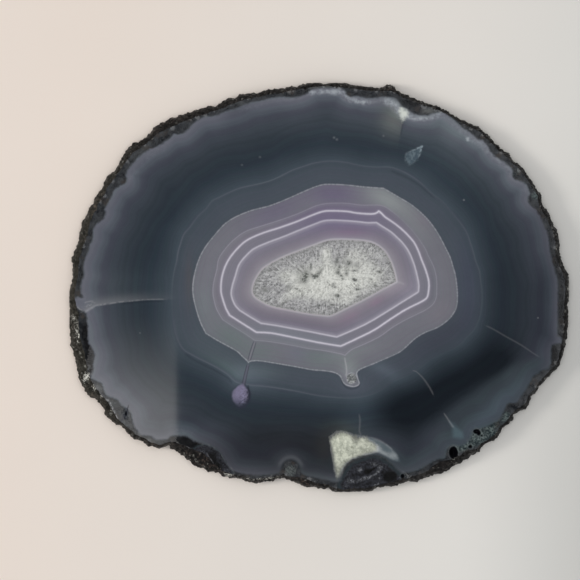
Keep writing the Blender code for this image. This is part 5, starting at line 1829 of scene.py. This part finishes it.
world = bpy.data.worlds.new("studio")
bpy.context.scene.world = world
world.use_nodes = True
wt = world.node_tree
wt.nodes.clear()
sky = wt.nodes.new("ShaderNodeTexCoord")
parts = wt.nodes.new("ShaderNodeSeparateXYZ")
ramp_node = wt.nodes.new("ShaderNodeValToRGB")
back = wt.nodes.new("ShaderNodeBackground")
world_out = wt.nodes.new("ShaderNodeOutputWorld")
wt.links.new(sky.outputs["Generated"], parts.inputs[0])
wt.links.new(parts.outputs[2], ramp_node.inputs[0])
wt.links.new(ramp_node.outputs[0], back.inputs[0])
wt.links.new(back.outputs[0], world_out.inputs[0])
stops = ramp_node.color_ramp.elements
stops[0].position, stops[0].color = 0.0, (0.14, 0.143, 0.147, 1)
stops[1].position, stops[1].color = 1.0, (0.052, 0.056, 0.062, 1)
for position, colour in ((0.30, (0.17, 0.174, 0.18, 1)), (0.50, (0.30, 0.303, 0.309, 1)), (0.70, (0.55, 0.555, 0.562, 1)),
                          (0.85, (0.90, 0.908, 0.917, 1)), (0.93, (2.00, 2.02, 2.04, 1)), (0.9925, (2.00, 2.02, 2.04, 1)),
                          (0.9955, (0.12, 0.123, 0.13, 1)), (0.9965, (0.052, 0.056, 0.062, 1))):
    stop = stops.new(position)
    stop.color = colour
back.inputs[1].default_value = 0.90


def area_light(name, at, towards, size, energy, colour):
    light = bpy.data.lights.new(name, "AREA")
    light.shape = "RECTANGLE"
    light.size, light.size_y = size
    light.energy = energy
    light.color = colour
    thing = bpy.data.objects.new(name, light)
    thing.location = at
    thing.rotation_euler = (Vector(towards) - Vector(at)).to_track_quat("-Z", "Y").to_euler()
    bpy.context.scene.collection.objects.link(thing)
    return thing


key = area_light("key", (-1.45, 0.03, 1.08), (0, 0, 0), (0.5, 0.5), 10.5, (1.0, 0.955, 0.90))
key.visible_glossy = False

# soft card overhead to the left, seen only as a reflection in the polish
card_height = 1.0
edge_x = place((176.5, 290.0))[0]
card_right = edge_x + (edge_x - aim_x) * card_height / distance
card_left = card_right - 0.19
low_y = place((290.0, 470.0))[1]
high_y = place((290.0, 335.0))[1]
card_low = low_y + (low_y - aim_y) * card_height / distance
card_high = high_y + (high_y - aim_y) * card_height / distance
card_mesh = bpy.data.meshes.new("soft_card")
z_card = THICKNESS + card_height
card_mesh.from_pydata(
    [
        (card_left, card_low - 0.1, z_card), (card_right, card_low - 0.1, z_card),
        (card_right, card_high + 0.1, z_card), (card_left, card_high + 0.1, z_card),
    ],
    [],
    [(0, 1, 2, 3)],
)
card = bpy.data.objects.new("soft_card", card_mesh)
bpy.context.scene.collection.objects.link(card)
card.visible_camera = False
card.visible_shadow = False
card.visible_diffuse = False
glow_material = bpy.data.materials.new("soft_card")
glow_material.use_nodes = True
gt = glow_material.node_tree
gt.nodes.clear()
g_out = gt.nodes.new("ShaderNodeOutputMaterial")
g_emit = gt.nodes.new("ShaderNodeEmission")
g_pos = gt.nodes.new("ShaderNodeTexCoord")
g_split = gt.nodes.new("ShaderNodeSeparateXYZ")
g_range = gt.nodes.new("ShaderNodeMapRange")
g_range.interpolation_type = "SMOOTHSTEP"
gt.links.new(g_pos.outputs["Object"], g_split.inputs[0])
gt.links.new(g_split.outputs[1], g_range.inputs["Value"])
g_range.inputs["From Min"].default_value = card_high - 0.06
g_range.inputs["From Max"].default_value = card_high + 0.02
g_range.inputs["To Min"].default_value = 2.2
g_range.inputs["To Max"].default_value = 0.0
gt.links.new(g_range.outputs[0], g_emit.inputs[1])
g_emit.inputs[0].default_value = (1.0, 0.98, 0.95, 1)
gt.links.new(g_emit.outputs[0], g_out.inputs[0])
card_mesh.materials.append(glow_material)

view = bpy.context.scene.view_settings
view.view_transform = "Standard"
view.look = "None"
view.exposure = 0.0
view.gamma = 1.0
